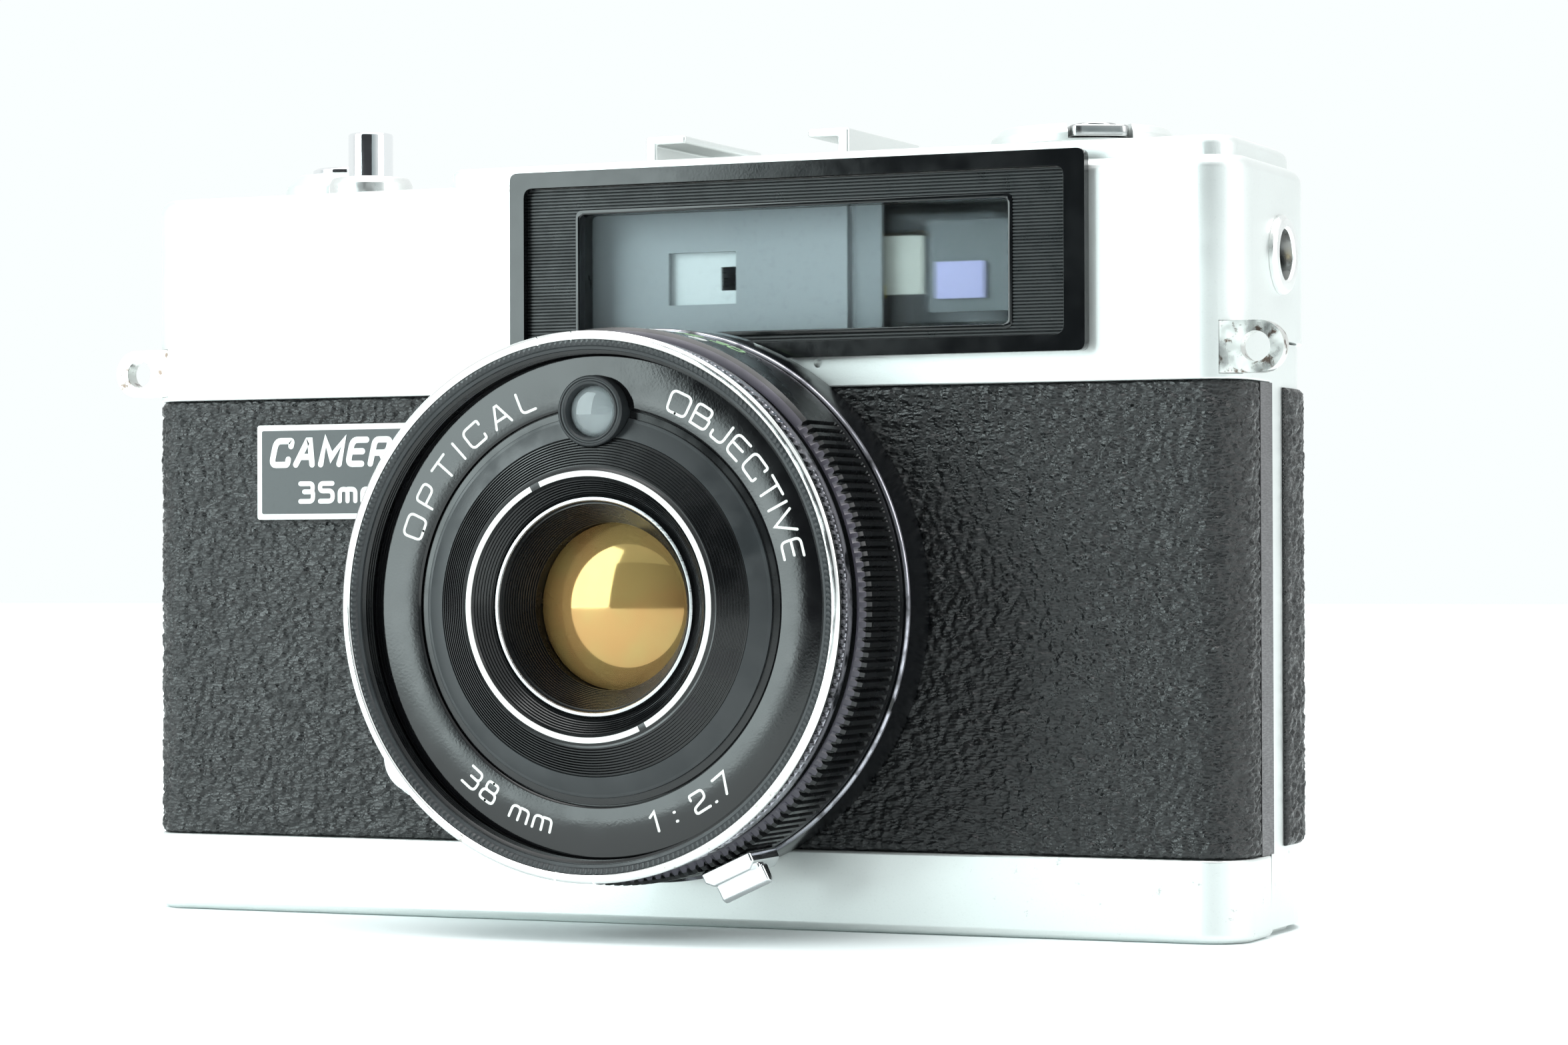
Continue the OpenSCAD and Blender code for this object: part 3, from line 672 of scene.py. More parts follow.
def make_materials():
    satin_covers()
    plated("chrome", 0.09)
    plated("dark_chrome", 0.16, "chrome", (0.48, 0.49, 0.49))
    lug = plated("bright_lug", 0.30, "chrome", (0.66, 0.66, 0.64))
    lug.tint(lug.span(lug.noise(1.3, detail=4, roughness=0.65), 0.55, 0.66), (0.16, 0.12, 0.10))
    plated("soft_chrome", 0.28, "chrome", (0.82, 0.83, 0.82))
    worn_rim()
    leatherette()
    lacquer("black_metal", (0.004, 0.0045, 0.005), 0.26)
    lacquer("grey_satin", (0.020, 0.023, 0.025), 0.40, "black_metal", 0.006)
    lacquer("ribbed_black", (0.005, 0.0055, 0.006), 0.24, "black_metal")
    lacquer("gloss_black", (0.003, 0.003, 0.0035), 0.07)
    lacquer("mauve_bevel", (0.055, 0.050, 0.066), 0.32, "black_metal")
    wearing("worn_black", (0.003, 0.0035, 0.0045), 0.20, "black_metal")
    plastic("black_plastic", (0.006, 0.007, 0.008), 0.22)
    lacquer("finder_black", (0.003, 0.0035, 0.004), 0.11, "black_plastic")
    plastic("ribbed_plastic", (0.010, 0.012, 0.013), 0.34, "black_plastic")
    plastic("spool_plastic", (0.018, 0.018, 0.020), 0.45, "black_plastic")
    machined("die_casting", (0.16, 0.155, 0.16), 0.48)
    machined("steel", (0.60, 0.61, 0.62), 0.32)
    machined("dark_steel", (0.12, 0.12, 0.13), 0.36)
    machined("brass", (0.72, 0.56, 0.28), 0.30)
    plastic("foam", (0.02, 0.02, 0.02), 0.9)
    glass("clear_glass", (0.93, 0.97, 0.98), 0.02, 1.0, alpha=0.35)
    glass("cover_glass", (0.86, 0.92, 0.94), 0.0, 1.0, "clear_glass", ior=1.08, alpha=0.45)
    glass("meter_dome", (0.60, 0.66, 0.68), 0.02, 0.7, "clear_glass", alpha=0.75)
    glass("violet_glass", (0.70, 0.76, 0.82), 0.12, 0.1)
    coating("coated_glass", (0.50, 0.345, 0.12), 0.80, 0.05)
    coating("rose_coating", (0.44, 0.25, 0.16), 0.60, 0.30)
    # painted reflection: a flat pearly colour standing in for light mirrored by the finder lens
    paint("pearl_patch", (0.62, 0.64, 0.58), 0.4, "frosted")
    paint("haze", (0.20, 0.225, 0.24), 0.5, "violet_glass")
    # painted reflection: a flat lavender colour standing in for light mirrored by a coating in the
    # finder
    paint("lavender_patch", (0.58, 0.58, 0.95), 0.4, "violet_glass")
    paint("yellow_patch", (0.88, 0.72, 0.08), 0.4, "brass")
    paint("frosted", (0.30, 0.335, 0.35), 0.55, "frosted")
    paint("frosted_patch", (0.62, 0.68, 0.69), 0.5, "frosted")
    paint("nameplate_field", (0.055, 0.062, 0.064), 0.4, "nameplate_field")
    paint("white_paint", (0.85, 0.86, 0.84), 0.45, "nameplate_field")
    paint("engraving", (0.80, 0.81, 0.78), 0.5, "gloss_black")
    paint("scale_white", (0.78, 0.80, 0.78), 0.5, "black_metal")
    paint("scale_green", (0.35, 0.55, 0.30), 0.5, "black_metal")
    paint("ivory_plastic", (0.85, 0.83, 0.76), 0.35, "ivory_plastic")
    paint("sensor", (0.030, 0.034, 0.036), 0.3, "sensor")


make_materials()


# ---- Lettering: strokes drawn on a grid 1 high, then widened to ribbons ----

ROUND = 0.28
GLYPHS = {
    "A": (0.98, [[(0, 0), (0.42, 1), (0.56, 1), (0.98, 0)], [(0.16, 0.32), (0.82, 0.32)]]),
    "B": (0.9, [[(0, 0), (0, 1), (0.44, 1)], [(0.40, 1), (0.82, 1), (0.82, 0.53), (0, 0.53)],
                [(0.75, 0.53), (0.9, 0.53), (0.9, 0), (0, 0)]]),
    "C": (0.95, [[(0.95, 0.78), (0.95, 1), (0, 1), (0, 0), (0.95, 0), (0.95, 0.22)]]),
    "E": (0.82, [[(0.82, 1), (0, 1), (0, 0), (0.82, 0)], [(0, 0.52), (0.72, 0.52)]]),
    "I": (0.0, [[(0, 0), (0, 1)]]),
    "J": (0.75, [[(0.75, 1), (0.75, 0), (0, 0), (0, 0.3)]]),
    "L": (0.78, [[(0, 1), (0, 0), (0.78, 0)]]),
    "M": (1.1, [[(0, 0), (0, 1), (0.55, 0.28), (1.1, 1), (1.1, 0)]]),
    "O": (1.05, [[(0.5, 0), (0, 0), (0, 1), (1.05, 1), (1.05, 0), (0.5, 0)]]),
    "P": (0.88, [[(0, 0), (0, 1), (0.46, 1)], [(0.42, 1), (0.88, 1), (0.88, 0.42), (0, 0.42)]]),
    "R": (0.92, [[(0, 0), (0, 1), (0.46, 1)], [(0.42, 1), (0.9, 1), (0.9, 0.45), (0, 0.45)],
                 [(0.5, 0.45), (0.92, 0)]]),
    "T": (0.96, [[(0, 1), (0.96, 1)], [(0.48, 1), (0.48, 0)]]),
    "V": (0.98, [[(0, 1), (0.49, 0), (0.98, 1)]]),
    "m": (1.0, [[(0, 0), (0, 0.66), (0.5, 0.66), (0.5, 0)], [(0.5, 0.66), (1.0, 0.66), (1.0, 0)]]),
    "0": (0.85, [[(0.4, 0), (0, 0), (0, 1), (0.85, 1), (0.85, 0), (0.4, 0)]]),
    "1": (0.3, [[(0, 0.78), (0.3, 1), (0.3, 0)]]),
    "2": (0.82, [[(0, 0.76), (0, 1), (0.82, 1), (0.82, 0.56), (0, 0.30), (0, 0), (0.82, 0)]]),
    "3": (0.82, [[(0, 1), (0.80, 1), (0.80, 0.54), (0.25, 0.54)],
                 [(0.55, 0.54), (0.82, 0.54), (0.82, 0), (0, 0)]]),
    "4": (0.85, [[(0.62, 0), (0.62, 1)], [(0.60, 0.97), (0, 0.28), (0.85, 0.28)]]),
    "5": (0.82, [[(0.8, 1), (0, 1), (0, 0.58), (0.82, 0.58), (0.82, 0), (0, 0)]]),
    "7": (0.8, [[(0, 1), (0.8, 1), (0.28, 0)]]),
    "8": (0.84, [[(0.4, 0), (0, 0), (0, 0.53), (0.84, 0.53), (0.84, 0), (0.4, 0)],
                 [(0.4, 1), (0.08, 1), (0.08, 0.53), (0.76, 0.53), (0.76, 1), (0.4, 1)]]),
    "9": (0.82, [[(0, 0), (0.82, 0), (0.82, 1), (0.38, 1)],
                 [(0.42, 1), (0, 1), (0, 0.46), (0.82, 0.46)]]),
    ".": (0.05, [[(0, 0), (0.05, 0)]]),
    ":": (0.05, [[(0, 0.14), (0.05, 0.14)], [(0, 0.62), (0.05, 0.62)]]),
    " ": (0.35, []),
}


def ribbon(line, width):
    """A flat ribbon along a line of 2-D points, with round ends: its points and faces."""
    line = [np.array(p, float) for p in line]
    half = width / 2
    left, right = [], []
    for i, here in enumerate(line):
        before = here - line[i - 1] if i else line[1] - here
        after = line[i + 1] - here if i < len(line) - 1 else here - line[i - 1]
        before, after = before / np.hypot(*before), after / np.hypot(*after)
        along = before + after
        along /= max(np.hypot(*along), 1e-6)
        side = np.array([-along[1], along[0]])
        reach = half / max(side @ np.array([-before[1], before[0]]), 0.5)
        left.append(here + side * reach)
        right.append(here - side * reach)
    points = left + right
    count = len(line)
    faces = [(count + k, count + k + 1, k + 1, k) for k in range(count - 1)]
    for end, direction, rim in ((0, -1, (count, 0)), (count - 1, 1, (count - 1, 2 * count - 1))):
        away = line[end] - line[end - direction]
        start = math.atan2(away[1], away[0]) - math.pi / 2
        base = len(points)
        sweep = [start + math.pi * k / 6 for k in range(1, 6)]
        points += [line[end] + half * np.array([math.cos(a), math.sin(a)]) for a in sweep]
        faces.append((rim[1], *range(base, base + 5), rim[0]))
    return points, faces


def lettering(text, height, width, gap, slant=0.0, broad=1.0):
    """The strokes of a line of text as ribbons, and how long it is. Its own x runs from 0."""
    strokes, x = [], 0.0
    for character in text:
        advance, lines = GLYPHS[character]
        radius = 0 if character in "AVM147" else ROUND
        for line in lines:
            bends = fillet(line, radius, steps=5, closed=False)
            bends = [np.array([(broad * (x + p[0]) + slant * p[1]) * height,
                p[1] * height]) for p in bends]
            strokes.append(ribbon(bends, width))
        x += advance + gap
    return strokes, (x - gap) * height * broad


def letters(name, text, height, width, gap, place, material, slant=0.0, broad=1.0):
    """Raised lettering. place(x, y, up) puts the flat text's points on the object.
    Each stroke is a solid of its own, and stands a hair higher than the one before it, in runs of four."""
    strokes, length = lettering(text, height, width, gap, slant, broad)
    points, faces = [], []
    for k, (flat, flat_faces) in enumerate(strokes):
        flat = np.array(flat)
        x, y = flat[:, 0] - length / 2, flat[:, 1]
        base, count = 2 * sum(len(f) for f, _ in strokes[:k]), len(flat)
        step = 0.003 * (k % 4)
        points += [place(x, y, 0.03 + step), place(x, y, -0.05 - step)]
        rim = {}
        for face in flat_faces:
            faces.append([i + base for i in face])
            faces.append([i + base + count for i in face][::-1])
            for a, b in zip(face, (*face[1:], face[0])):
                rim[(a, b)] = True
        for a, b in rim:
            if (b, a) not in rim:
                faces.append((b + base, a + base, a + base + count, b + base + count))
    return make(name, np.concatenate(points), faces, material)


# ---- Body shell ----


def build_covers():
    x0, _, z0 = finder_low + 1.5
    x1, z1 = finder_high[0] - 1.9, finder_high[2] - 1.5
    wall = 0.9
    skirt_back = FRONT_Y + 9
    rear_edge = 53.6

    top = make("top_cover_shell", *stack(body_ring, BAND_TOP, DECK_Z, 1.3), "satin_silver")
    tier = make("tier", *stack(tier_ring, DECK_Z - 3, TIER_Z, 0.9), None)
    carve(top, [tier], "UNION")
    cutters = [make("inside", *stack(lambda s: body_ring(s + wall), BAND_TOP - 2, DECK_Z - wall, 0.8),
        None), make("tier_inside",
        *stack(lambda s: tier_ring(s + wall), DECK_Z - 2.5, TIER_Z - wall, 0.4), None),
        block((-FAR, skirt_back, 0), (FAR, FAR, rear_edge)), block((x0, FRONT_Y - 1, z0),
        (x1, FRONT_Y + 5, z1)), rod(on_lens, BORE_R, -4, 4),]
    counter_x, counter_y, _ = middle("counter_window")
    deck_holes = (BUTTON_X, BUTTON_Y, 3.2), (WIND_X, WIND_Y, 2.6), (KNOB_X, KNOB_Y, 3.0), (
        counter_x, counter_y, 2.75)
    cutters += [rod(upright(x, y), radius, DECK_Z - 2, DECK_Z + 5) for x, y, radius in deck_holes]
    cutters += [
        rod(sideways(SYNC_Y, SYNC_Z), 3.0, HALF_W - 3, HALF_W + 4),
        block((22, BACK_Y - 3, 57), (34, BACK_Y + 4, 65)),
    ]
    shoe_low, shoe_high = corners("accessory_shoe")
    cutters.append(block((shoe_low[0] - 0.1, shoe_low[1] - 0.1, TIER_Z - 0.5),
        (shoe_high[0] + 0.1, 14, TIER_Z + 3)))
    for side in (-1, 1):
        x = side * 55.6
        cutters.append(block((x - 4, FRONT_Y + 0.45, LUG_Z - 2.35),
            (x + 4, FRONT_Y + 2.15, LUG_Z + 2.35)))
    # the index hole beside the lens
    cutters.append(rod(facing(15.8, 51.9), 0.42, FRONT_Y - 1, FRONT_Y + 0.5, 32))
    carve(top, cutters)
    weigh(top)
    stand_in(top, "top_cover")

    base = make("bottom_cover_shell", *stack(body_ring, 0, BASE_H, 0.25, 0.9), "satin_silver")
    cutters = [
        make("inside", *stack(lambda s: body_ring(s + wall), wall, BASE_H + 2, 0.1, 0.5), None),
        block((-FAR, DOOR_SEAM, wall), (FAR, FAR, FAR)),
    ]
    holes = (0, 0, 6.02), (19, 5.5, 7.3), (-24.5, 6, 1.97), (-49.5, 4, 1.7), (49.5, 4, 1.7), (
        -30, -9.5, 1.7)
    cutters += [rod(upright(x, y), radius, -1, 2) for x, y, radius in holes]
    for side in (-1, 1):
        back = DOOR_SEAM + 0.3
        wedge = [(back - 0.75, BASE_H + 1), (back - 0.55, 1.2), (back, 1.2), (back, BASE_H + 1)]
        reach = sorted((side * (HALF_W - 1.2), side * (HALF_W + 1)))
        cutters.append(prism("gap", wedge, 0, *reach, None))
    trim = make("trim", *stack(lambda s: body_ring(s - 3), -1, BASE_H + 3, 0.1), None)
    core = make("core", *stack(lambda s: body_ring(s + 1.6), -2, BASE_H + 4, 0.1), None)
    carve(trim, [core])
    carve(trim, [block((-FAR, -FAR, -9), (FAR, DOOR_SEAM, FAR))])
    cutters.append(trim)
    carve(base, cutters)
    weigh(base)
    stand_in(base, "bottom_cover")
    for side, name in ((-1, "left"), (1, "right")):
        reach = sorted((side * (HALF_W - 1.1), side * (HALF_W - 0.3)))
        outline = rectangle(DOOR_SEAM - 0.6, DOOR_SEAM - 0.08, 1.3, BASE_H - 0.1, 0)
        go_with(prism(f"base_gap_seal_{name}", outline, 0, *reach, "foam"), "light_seals")


def grain(along, up):
    """Height of the leatherette's grain, in millimetres, at places along and up the sheet."""
    drift = smooth_noise(along / 2.1, up / 1.7, 3) - 0.5
    sway = smooth_noise(along / 1.5, up / 2.6, 4) - 0.5
    first, second = cell_noise(along / 1.30 + 1.1 * drift, up / 0.86 + 1.3 * sway, 5)
    pebble = np.clip((second - first) / 0.42, 0, 1)
    pebble = pebble * pebble * (3 - 2 * pebble)
    fine, fine_next = cell_noise(along / 0.62 + 0.8 * sway, up / 0.44 + 0.8 * drift, 6)
    wrinkle = np.clip((fine_next - fine) / 0.5, 0, 1)
    waves = smooth_noise(along / 4.5, up / 1.3, 7)
    return 0.24 * pebble + 0.09 * wrinkle + 0.10 * waves + 0.06 * smooth_noise(along / 0.5, up / 0.4, 8)


def sheet_over(name, path, low, high, depth, step):
    """A grained sheet over a path of (x, y) points, between two heights, closed at the back."""
    path = np.array(path, float)
    legs = np.hypot(*np.diff(path, axis=0).T)
    reach = np.concatenate([[0], np.cumsum(legs)])
    count = int(reach[-1] / step) + 1
    along = np.linspace(0, reach[-1], count)
    x, y = np.interp(along, reach, path[:, 0]), np.interp(along, reach, path[:, 1])
    slope = np.gradient(np.column_stack([x, y]), axis=0)
    slope /= np.hypot(slope[:, 0], slope[:, 1])[:, None]
    out = np.column_stack([slope[:, 1], -slope[:, 0]])
    rows = int((high - low) / step) + 1
    up = np.linspace(low, high, rows)
    a, u = np.meshgrid(along, up, indexing="ij")
    height = grain(a, u)
    edge = np.minimum(np.minimum(a, reach[-1] - a), np.minimum(u - low, high - u))
    height = (height - 0.24) * np.clip(edge / 0.5, 0, 1) - 0.22 * np.clip(1 - edge / 0.45, 0, 1) ** 2
    front = np.empty((count, rows, 3))
    front[..., 0] = x[:, None] + out[:, 0:1] * height
    front[..., 1] = y[:, None] + out[:, 1:2] * height
    front[..., 2] = u
    back = np.empty((count, 2, 3))
    back[..., 0] = (x - out[:, 0] * depth)[:, None]
    back[..., 1] = (y - out[:, 1] * depth)[:, None]
    back[..., 2] = [low, high]
    points = np.concatenate([front.reshape(-1, 3), back.reshape(-1, 3)])
    faces = []
    base = count * rows
    for i in range(count - 1):
        a = i * rows
        faces += [(a + j, a + rows + j, a + rows + j + 1, a + j + 1) for j in range(rows - 1)]
        b = base + 2 * i
        faces.append((b, b + 1, b + 3, b + 2))
        faces.append((a, b, b + 2, a + rows))
        faces.append((a + rows - 1, a + 2 * rows - 1, b + 3, b + 1))
    faces.append((*range(rows), base + 1, base))
    last = (count - 1) * rows
    faces.append((base + 2 * count - 2, base + 2 * count - 1, *range(last + rows - 1, last - 1, -1)))
    return make(name, points, faces, "leatherette", sharp=85.0)


def arc(x, y, radius, start, stop, steps=24):
    angles = np.radians(np.linspace(start, stop, steps + 1))
    return [(x + radius * math.cos(a), y + radius * math.sin(a)) for a in angles]


def build_leatherette():
    inset = 0.15
    r = FRONT_R - inset
    side = HALF_W - inset
    end_y = FRONT_Y + 6.2
    path = [(-side, end_y)]
    path += arc(-HALF_W + FRONT_R, FRONT_Y + FRONT_R, r, 180, 270)
    path += arc(HALF_W - FRONT_R, FRONT_Y + FRONT_R, r, 270, 360)
    path += [(side, end_y)]
    sheet = sheet_over("front_leatherette_sheet", path, BASE_H + 0.05, BAND_TOP - 0.05, 0.7, 0.24)
    carve(sheet, [rod(on_lens, BORE_R, -4, 4)])
    sheet.data.set_sharp_from_angle(angle=math.radians(85))
    stand_in(sheet, "front_leatherette")

    start_y = FRONT_Y + 13.8
    path = [(HALF_W, start_y)]
    path += arc(HALF_W - BACK_R, BACK_Y - BACK_R, BACK_R, 0, 90, 40)
    path += arc(-HALF_W + BACK_R, BACK_Y - BACK_R, BACK_R, 90, 180, 40)
    path += [(-HALF_W, start_y)]
    sheet = sheet_over("door_leatherette_sheet", path, 7.9, 49.4, 0.4, 0.34)
    stand_in(sheet, "door_leatherette")


# ---- Finder ----


def build_finder():
    x0, z0 = finder_low[0], finder_low[2]
    x1, z1 = finder_high[0], finder_high[2]
    front, border = FRONT_Y - 1.2, 1.5
    window = (-8.3, 34.6, 54.9, 66.4)

    def grown(outline, by):
        return outline[0] - by, outline[1] + by, outline[2] - by, outline[3] + by

    frame_piece = prism("finder_frame_rim", rectangle(x0, x1, z0, z1, 0.8), 1, front, FRONT_Y - 0.02,
        "finder_black")
    inner = prism("inner", rectangle(x0 + border, x1 - 2.0, z0 + border, z1 - border, 0.9), 1, -30, 0,
        None)
    carve(frame_piece, [inner])
    soften(frame_piece, 0.28, 3)
    frame_piece.modifiers.clear()
    carve(frame_piece, [rod(on_lens, FLANGE_R, -4, 8)])
    weigh(frame_piece)
    stand_in(frame_piece, "finder_frame")

    # the ribbed panel round the window
    pitch, depth = 0.305, 0.13
    left, right = x0 + border + 0.02, x1 - 2.02
    low, high = z0 + border + 0.02, z1 - border - 0.02
    count = round((high - low) / pitch)
    face = FRONT_Y - 0.42
    profile = []
    for k in range(count):
        z = low + (high - low) * k / count
        step = (high - low) / count
        profile += [(face + depth, z), (face, z + 0.22 * step), (face, z + 0.72 * step),
            (face + depth, z + 0.94 * step)]
    profile += [(FRONT_Y + 2.5, high), (FRONT_Y + 2.5, low)]
    panel = prism("finder_panel", profile, 0, left, right, "ribbed_plastic")
    opening = rectangle(*window, 0.6)
    carve(panel, [prism("opening", opening, 1, -30, 0, None), rod(on_lens, FLANGE_R + 0.05, -9, 8)])
    go_with(panel, "finder_frame")

    # a smooth bevelled lip round the window
    outline = rectangle(*grown(window, 0.35), 0.8)
    lip = prism("finder_lip", outline, 1, FRONT_Y - 0.5, FRONT_Y + 0.7, "finder_black")
    carve(lip, [prism("hole", rectangle(*grown(window, -0.1), 0.6), 1, -30, 0, None)])
    soften(lip, 0.12, 2)
    lip.modifiers.clear()
    carve(lip, [rod(on_lens, FLANGE_R + 0.05, -9, 8)])
    go_with(lip, "finder_frame")

    low, high = corners("finder_glass")
    outline = rectangle(*grown((low[0], high[0], low[2], high[2]), -0.1), 0.6)
    pane = prism("finder_pane", outline, 1, low[1], high[1], "cover_glass")
    soften(pane, 0.15, 2)
    stand_in(pane, "finder_glass")

    # the frosted screen that lights the bright-line frame, with its clear patch
    low, high = corners("frame_mask")
    outline = rectangle(low[0], high[0], low[2], high[2], 0.3)
    screen = prism("frosted_screen", outline, 1, low[1], high[1], "frosted")
    carve(screen, [prism("hole", rectangle(-0.7, 6.2, 57.8, 62.7, 0.1), 1, -30, 0, None)])
    stand_in(screen, "frame_mask")
    bracket = [(-0.9, 57.6), (6.4, 57.6), (6.4, 59.1), (4.4, 59.1), (4.4, 61.3), (6.4, 61.3),
        (6.4, 62.9), (-0.9, 62.9)]
    patch = prism("bright_patch", bracket, 1, high[1] + 0.05, high[1] + 0.4, "frosted_patch")
    go_with(patch, "frame_mask")
    edge = rectangle(high[0] - 0.2, high[0] + 3.2, low[2], high[2], 0.2), 1, low[1] + 0.7, high[1] + 0.6
    # The pearl and lavender patches are painted reflections: flat coloured sheets standing in for light
    # mirrored by the finder's lens and coatings.
    for name, low, high, material in (
        ("finder_painted_pearl_reflection", (18.7, 58.3), (24.1, 63.7), "pearl_patch"),
        ("finder_haze", (24.4, 56.6), (33.2, 65.0), "haze"),
        ("finder_painted_lavender_reflection", (25.3, 57.8), (30.1, 61.2), "lavender_patch"),
        ("finder_yellow_patch", (18.9, 58.0), (20.2, 59.3), "yellow_patch"),
    ):
        depth = FRONT_Y + {"yellow_patch": 5.3, "haze": 5.9}.get(material, 5.5)
        outline = rectangle(low[0], high[0], low[1], high[1], 0.15)
        go_with(prism(name, outline, 1, depth, depth + 0.3, material), "finder_lens")
    go_with(prism("frosted_edge", *edge, "frosted"), "frame_mask")


# ---- Lens ----


def wear_at(obj, radius_range, height_range):
    """Marks the part of a lens piece, by radius and distance, where its lacquer is rubbed off."""
    mesh = obj.data
    spots = np.zeros(len(mesh.vertices) * 3, np.float32)
    mesh.vertices.foreach_get("co", spots)
    spots = spots.reshape(-1, 3) / MM
    radius = np.hypot(spots[:, 0] - LENS_X, spots[:, 2] - LENS_Z)
    height = FRONT_Y - spots[:, 1]
    inside = (radius > radius_range[0]) & (radius < radius_range[1])
    inside &= (height > height_range[0]) & (height < height_range[1])
    mesh.attributes.new("wear", "FLOAT", "POINT").data.foreach_set("value", inside.astype(np.float32))


def lens_radius(spot):
    return math.hypot(spot[0] - LENS_X, spot[2] - LENS_Z)


def recolour(obj, material, test):
    """Gives the faces whose middle, in millimetres, passes the test another material."""
    obj.data.materials.append(MATERIALS[material])
    for face in obj.data.polygons:
        if test(face.center / MM):
            face.material_index = 1


def knurl_angles(pitch_count, smooth_from, smooth_to):
    """Angles for a knurled ring: four for each knurl, and which of them lie outside the smooth sector.
    """
    step = 2 * math.pi / pitch_count
    angles = []
    for k in range(pitch_count):
        for share in (0.0, 0.44, 0.62, 0.82):
            angles.append((k + share) * step)
    angles = np.array(angles)
    degrees = np.degrees(angles)
    knurled = (degrees < smooth_from) | (degrees > smooth_to)
    return angles, knurled


def build_lens():
    place = on_lens
    base_profile = fillet([[19.56, -7, 0.1], [21.2, -7, 0.1], [21.2, 0.02, 0], [25.4, 0.02, 0.1],
        [25.4, 5.0, 0.35], [21.2, 5.0, 0.1], [21.2, 12.9, 0.1], [19.56, 12.9, 0.1]], 0.1)
    base = turned("lens_base_ring", base_profile, place, "worn_black", 288)
    wear_at(base, (25.1, 25.39), (4.7, 4.99))
    stand_in(base, "lens_base")

    # the knurled focus ring, smooth over its distance scale
    count = 176
    angles, knurled = knurl_angles(count, 42, 150)
    tooth = np.tile([0.0, 0.0, 1.0, 1.0], count)

    def knurl(radius, height, all_angles):
        cut = 0.42 if radius > 24.9 and 6.55 < height < 13.4 else 0.0
        if 13.4 <= height and radius > 24.5:
            cut = 0.30
        return -cut * tooth * knurled

    focus_profile = [[21.26, 5.45], [21.4, 5.4], [24.85, 5.4], [25.1, 5.65], [25.1, 6.5], [25.095, 6.6],
        [25.09, 12.95], [24.75, 13.4], [24.2, 13.75], [24.0, 13.8], [21.4, 13.8], [21.26, 13.7]]
    ring = turned("focus_ring_body", focus_profile, place, "black_metal", wave=knurl, angles=angles)
    recolour(ring, "mauve_bevel", lambda spot: spot[1] < FRONT_Y - 13.45 and lens_radius(spot) > 24.0)
    stand_in(ring, "focus_ring")

    # barrel, with the filter thread inside its mouth and teeth at the edge
    thread = ribs([22.68, 16.5], [22.68, 18.1], 0.40, -0.16)
    barrel_profile = [[10, 12.9, 0], [19.4, 12.9, 0.1], [19.4, 14.2, 0], [22.3, 14.2, 0.1],
        [22.3, 15, 0], [23.35, 15, 0.1], [23.35, 18.3, 0.05], [22.78, 18.3, 0.05]]
    barrel_profile += [[p[0], p[1], 0] for p in thread[::-1]]
    barrel_profile += [[22.7, 16.45, 0], [22.7, 15.9, 0], [10, 15.9, 0.1]]
    barrel = turned("front_barrel_body", fillet(barrel_profile, 0.05, 2), place, "black_metal", 256)
    carve(barrel, [rod(on_meter, 2.6, 14.4, 19)])
    stand_in(barrel, "front_barrel")

    teeth = 284

    def toothed(radius, height, all_angles):
        wave = 0.5 + 0.5 * np.cos(all_angles * teeth)
        return 0.22 * wave if 23.3 < radius < 23.5 else 0.0 * wave

    tooth_profile = [[22.8, 18.32], [22.85, 18.5], [23.1, 18.62], [23.2, 18.78], [23.42, 18.97],
        [23.68, 18.92], [23.7, 18.32]]
    inner = turned("toothed_mouth", tooth_profile, place, "grey_satin", teeth * 6, wave=toothed)
    go_with(inner, "chrome_rim")

    # the film speed ring: scallops in front, a plain band behind them
    scallops = 176

    def scalloped(radius, height, all_angles):
        wave = np.abs(np.sin(all_angles * scallops / 2))
        return -0.34 * (1 - wave) if radius > 24.2 and height > 16.75 else 0.0 * wave

    speed_profile = [[23.42, 15.32], [23.9, 15.3], [24.2, 15.38], [24.3, 15.5], [24.3, 16.7],
        [24.3, 16.8], [24.3, 17.85], [24.1, 18.05], [23.42, 18.05]]
    speed = turned("film_speed_ring_body", speed_profile, place, "worn_black", scallops * 8,
        wave=scalloped)
    wear_at(speed, (24.26, 24.4), (16.65, 16.85))
    stand_in(speed, "film_speed_ring")

    rim_profile = fillet([[23.72, 18.32, 0.02], [24.35, 18.32, 0.1], [RIM_R, 18.5, 0.1],
        [RIM_R, LENS_FRONT - 0.25, 0.15], [RIM_R - 0.25, LENS_FRONT, 0.2], [23.85, LENS_FRONT, 0.1],
        [23.72, LENS_FRONT - 0.12, 0.05]], 0.1, 5)
    rim = turned("bright_rim", rim_profile, place, "worn_chrome", 288)
    cutters = []
    for degrees in (93, 101, -88, -97):
        cutter = block((23, -0.09, -0.4), (26, 0.09, 0.5))
        spot = Matrix.Translation(Vector((LENS_X, FRONT_Y - LENS_FRONT, LENS_Z)) * MM)
        swing = Matrix.Rotation(-math.radians(degrees), 4, "Y")
        cutter.data.transform(spot @ swing @ Matrix.Rotation(math.radians(90), 4, "X"))
        cutters.append(cutter)
    carve(rim, cutters)
    stand_in(rim, "chrome_rim")

    name_profile = fillet([[17.8, 15.95, 0], [22.5, 15.95, 0], [22.5, 16.4, 0.08], [22.3, 16.45, 0.05],
        [18.0, 16.45, 0.05], [17.8, 16.3, 0.05]], 0.05, 3)
    name = turned("name_ring_plate", name_profile, place, "gloss_black", 256)
    carve(name, [rod(on_meter, 3.25, 14, 19)])
    stand_in(name, "name_ring")

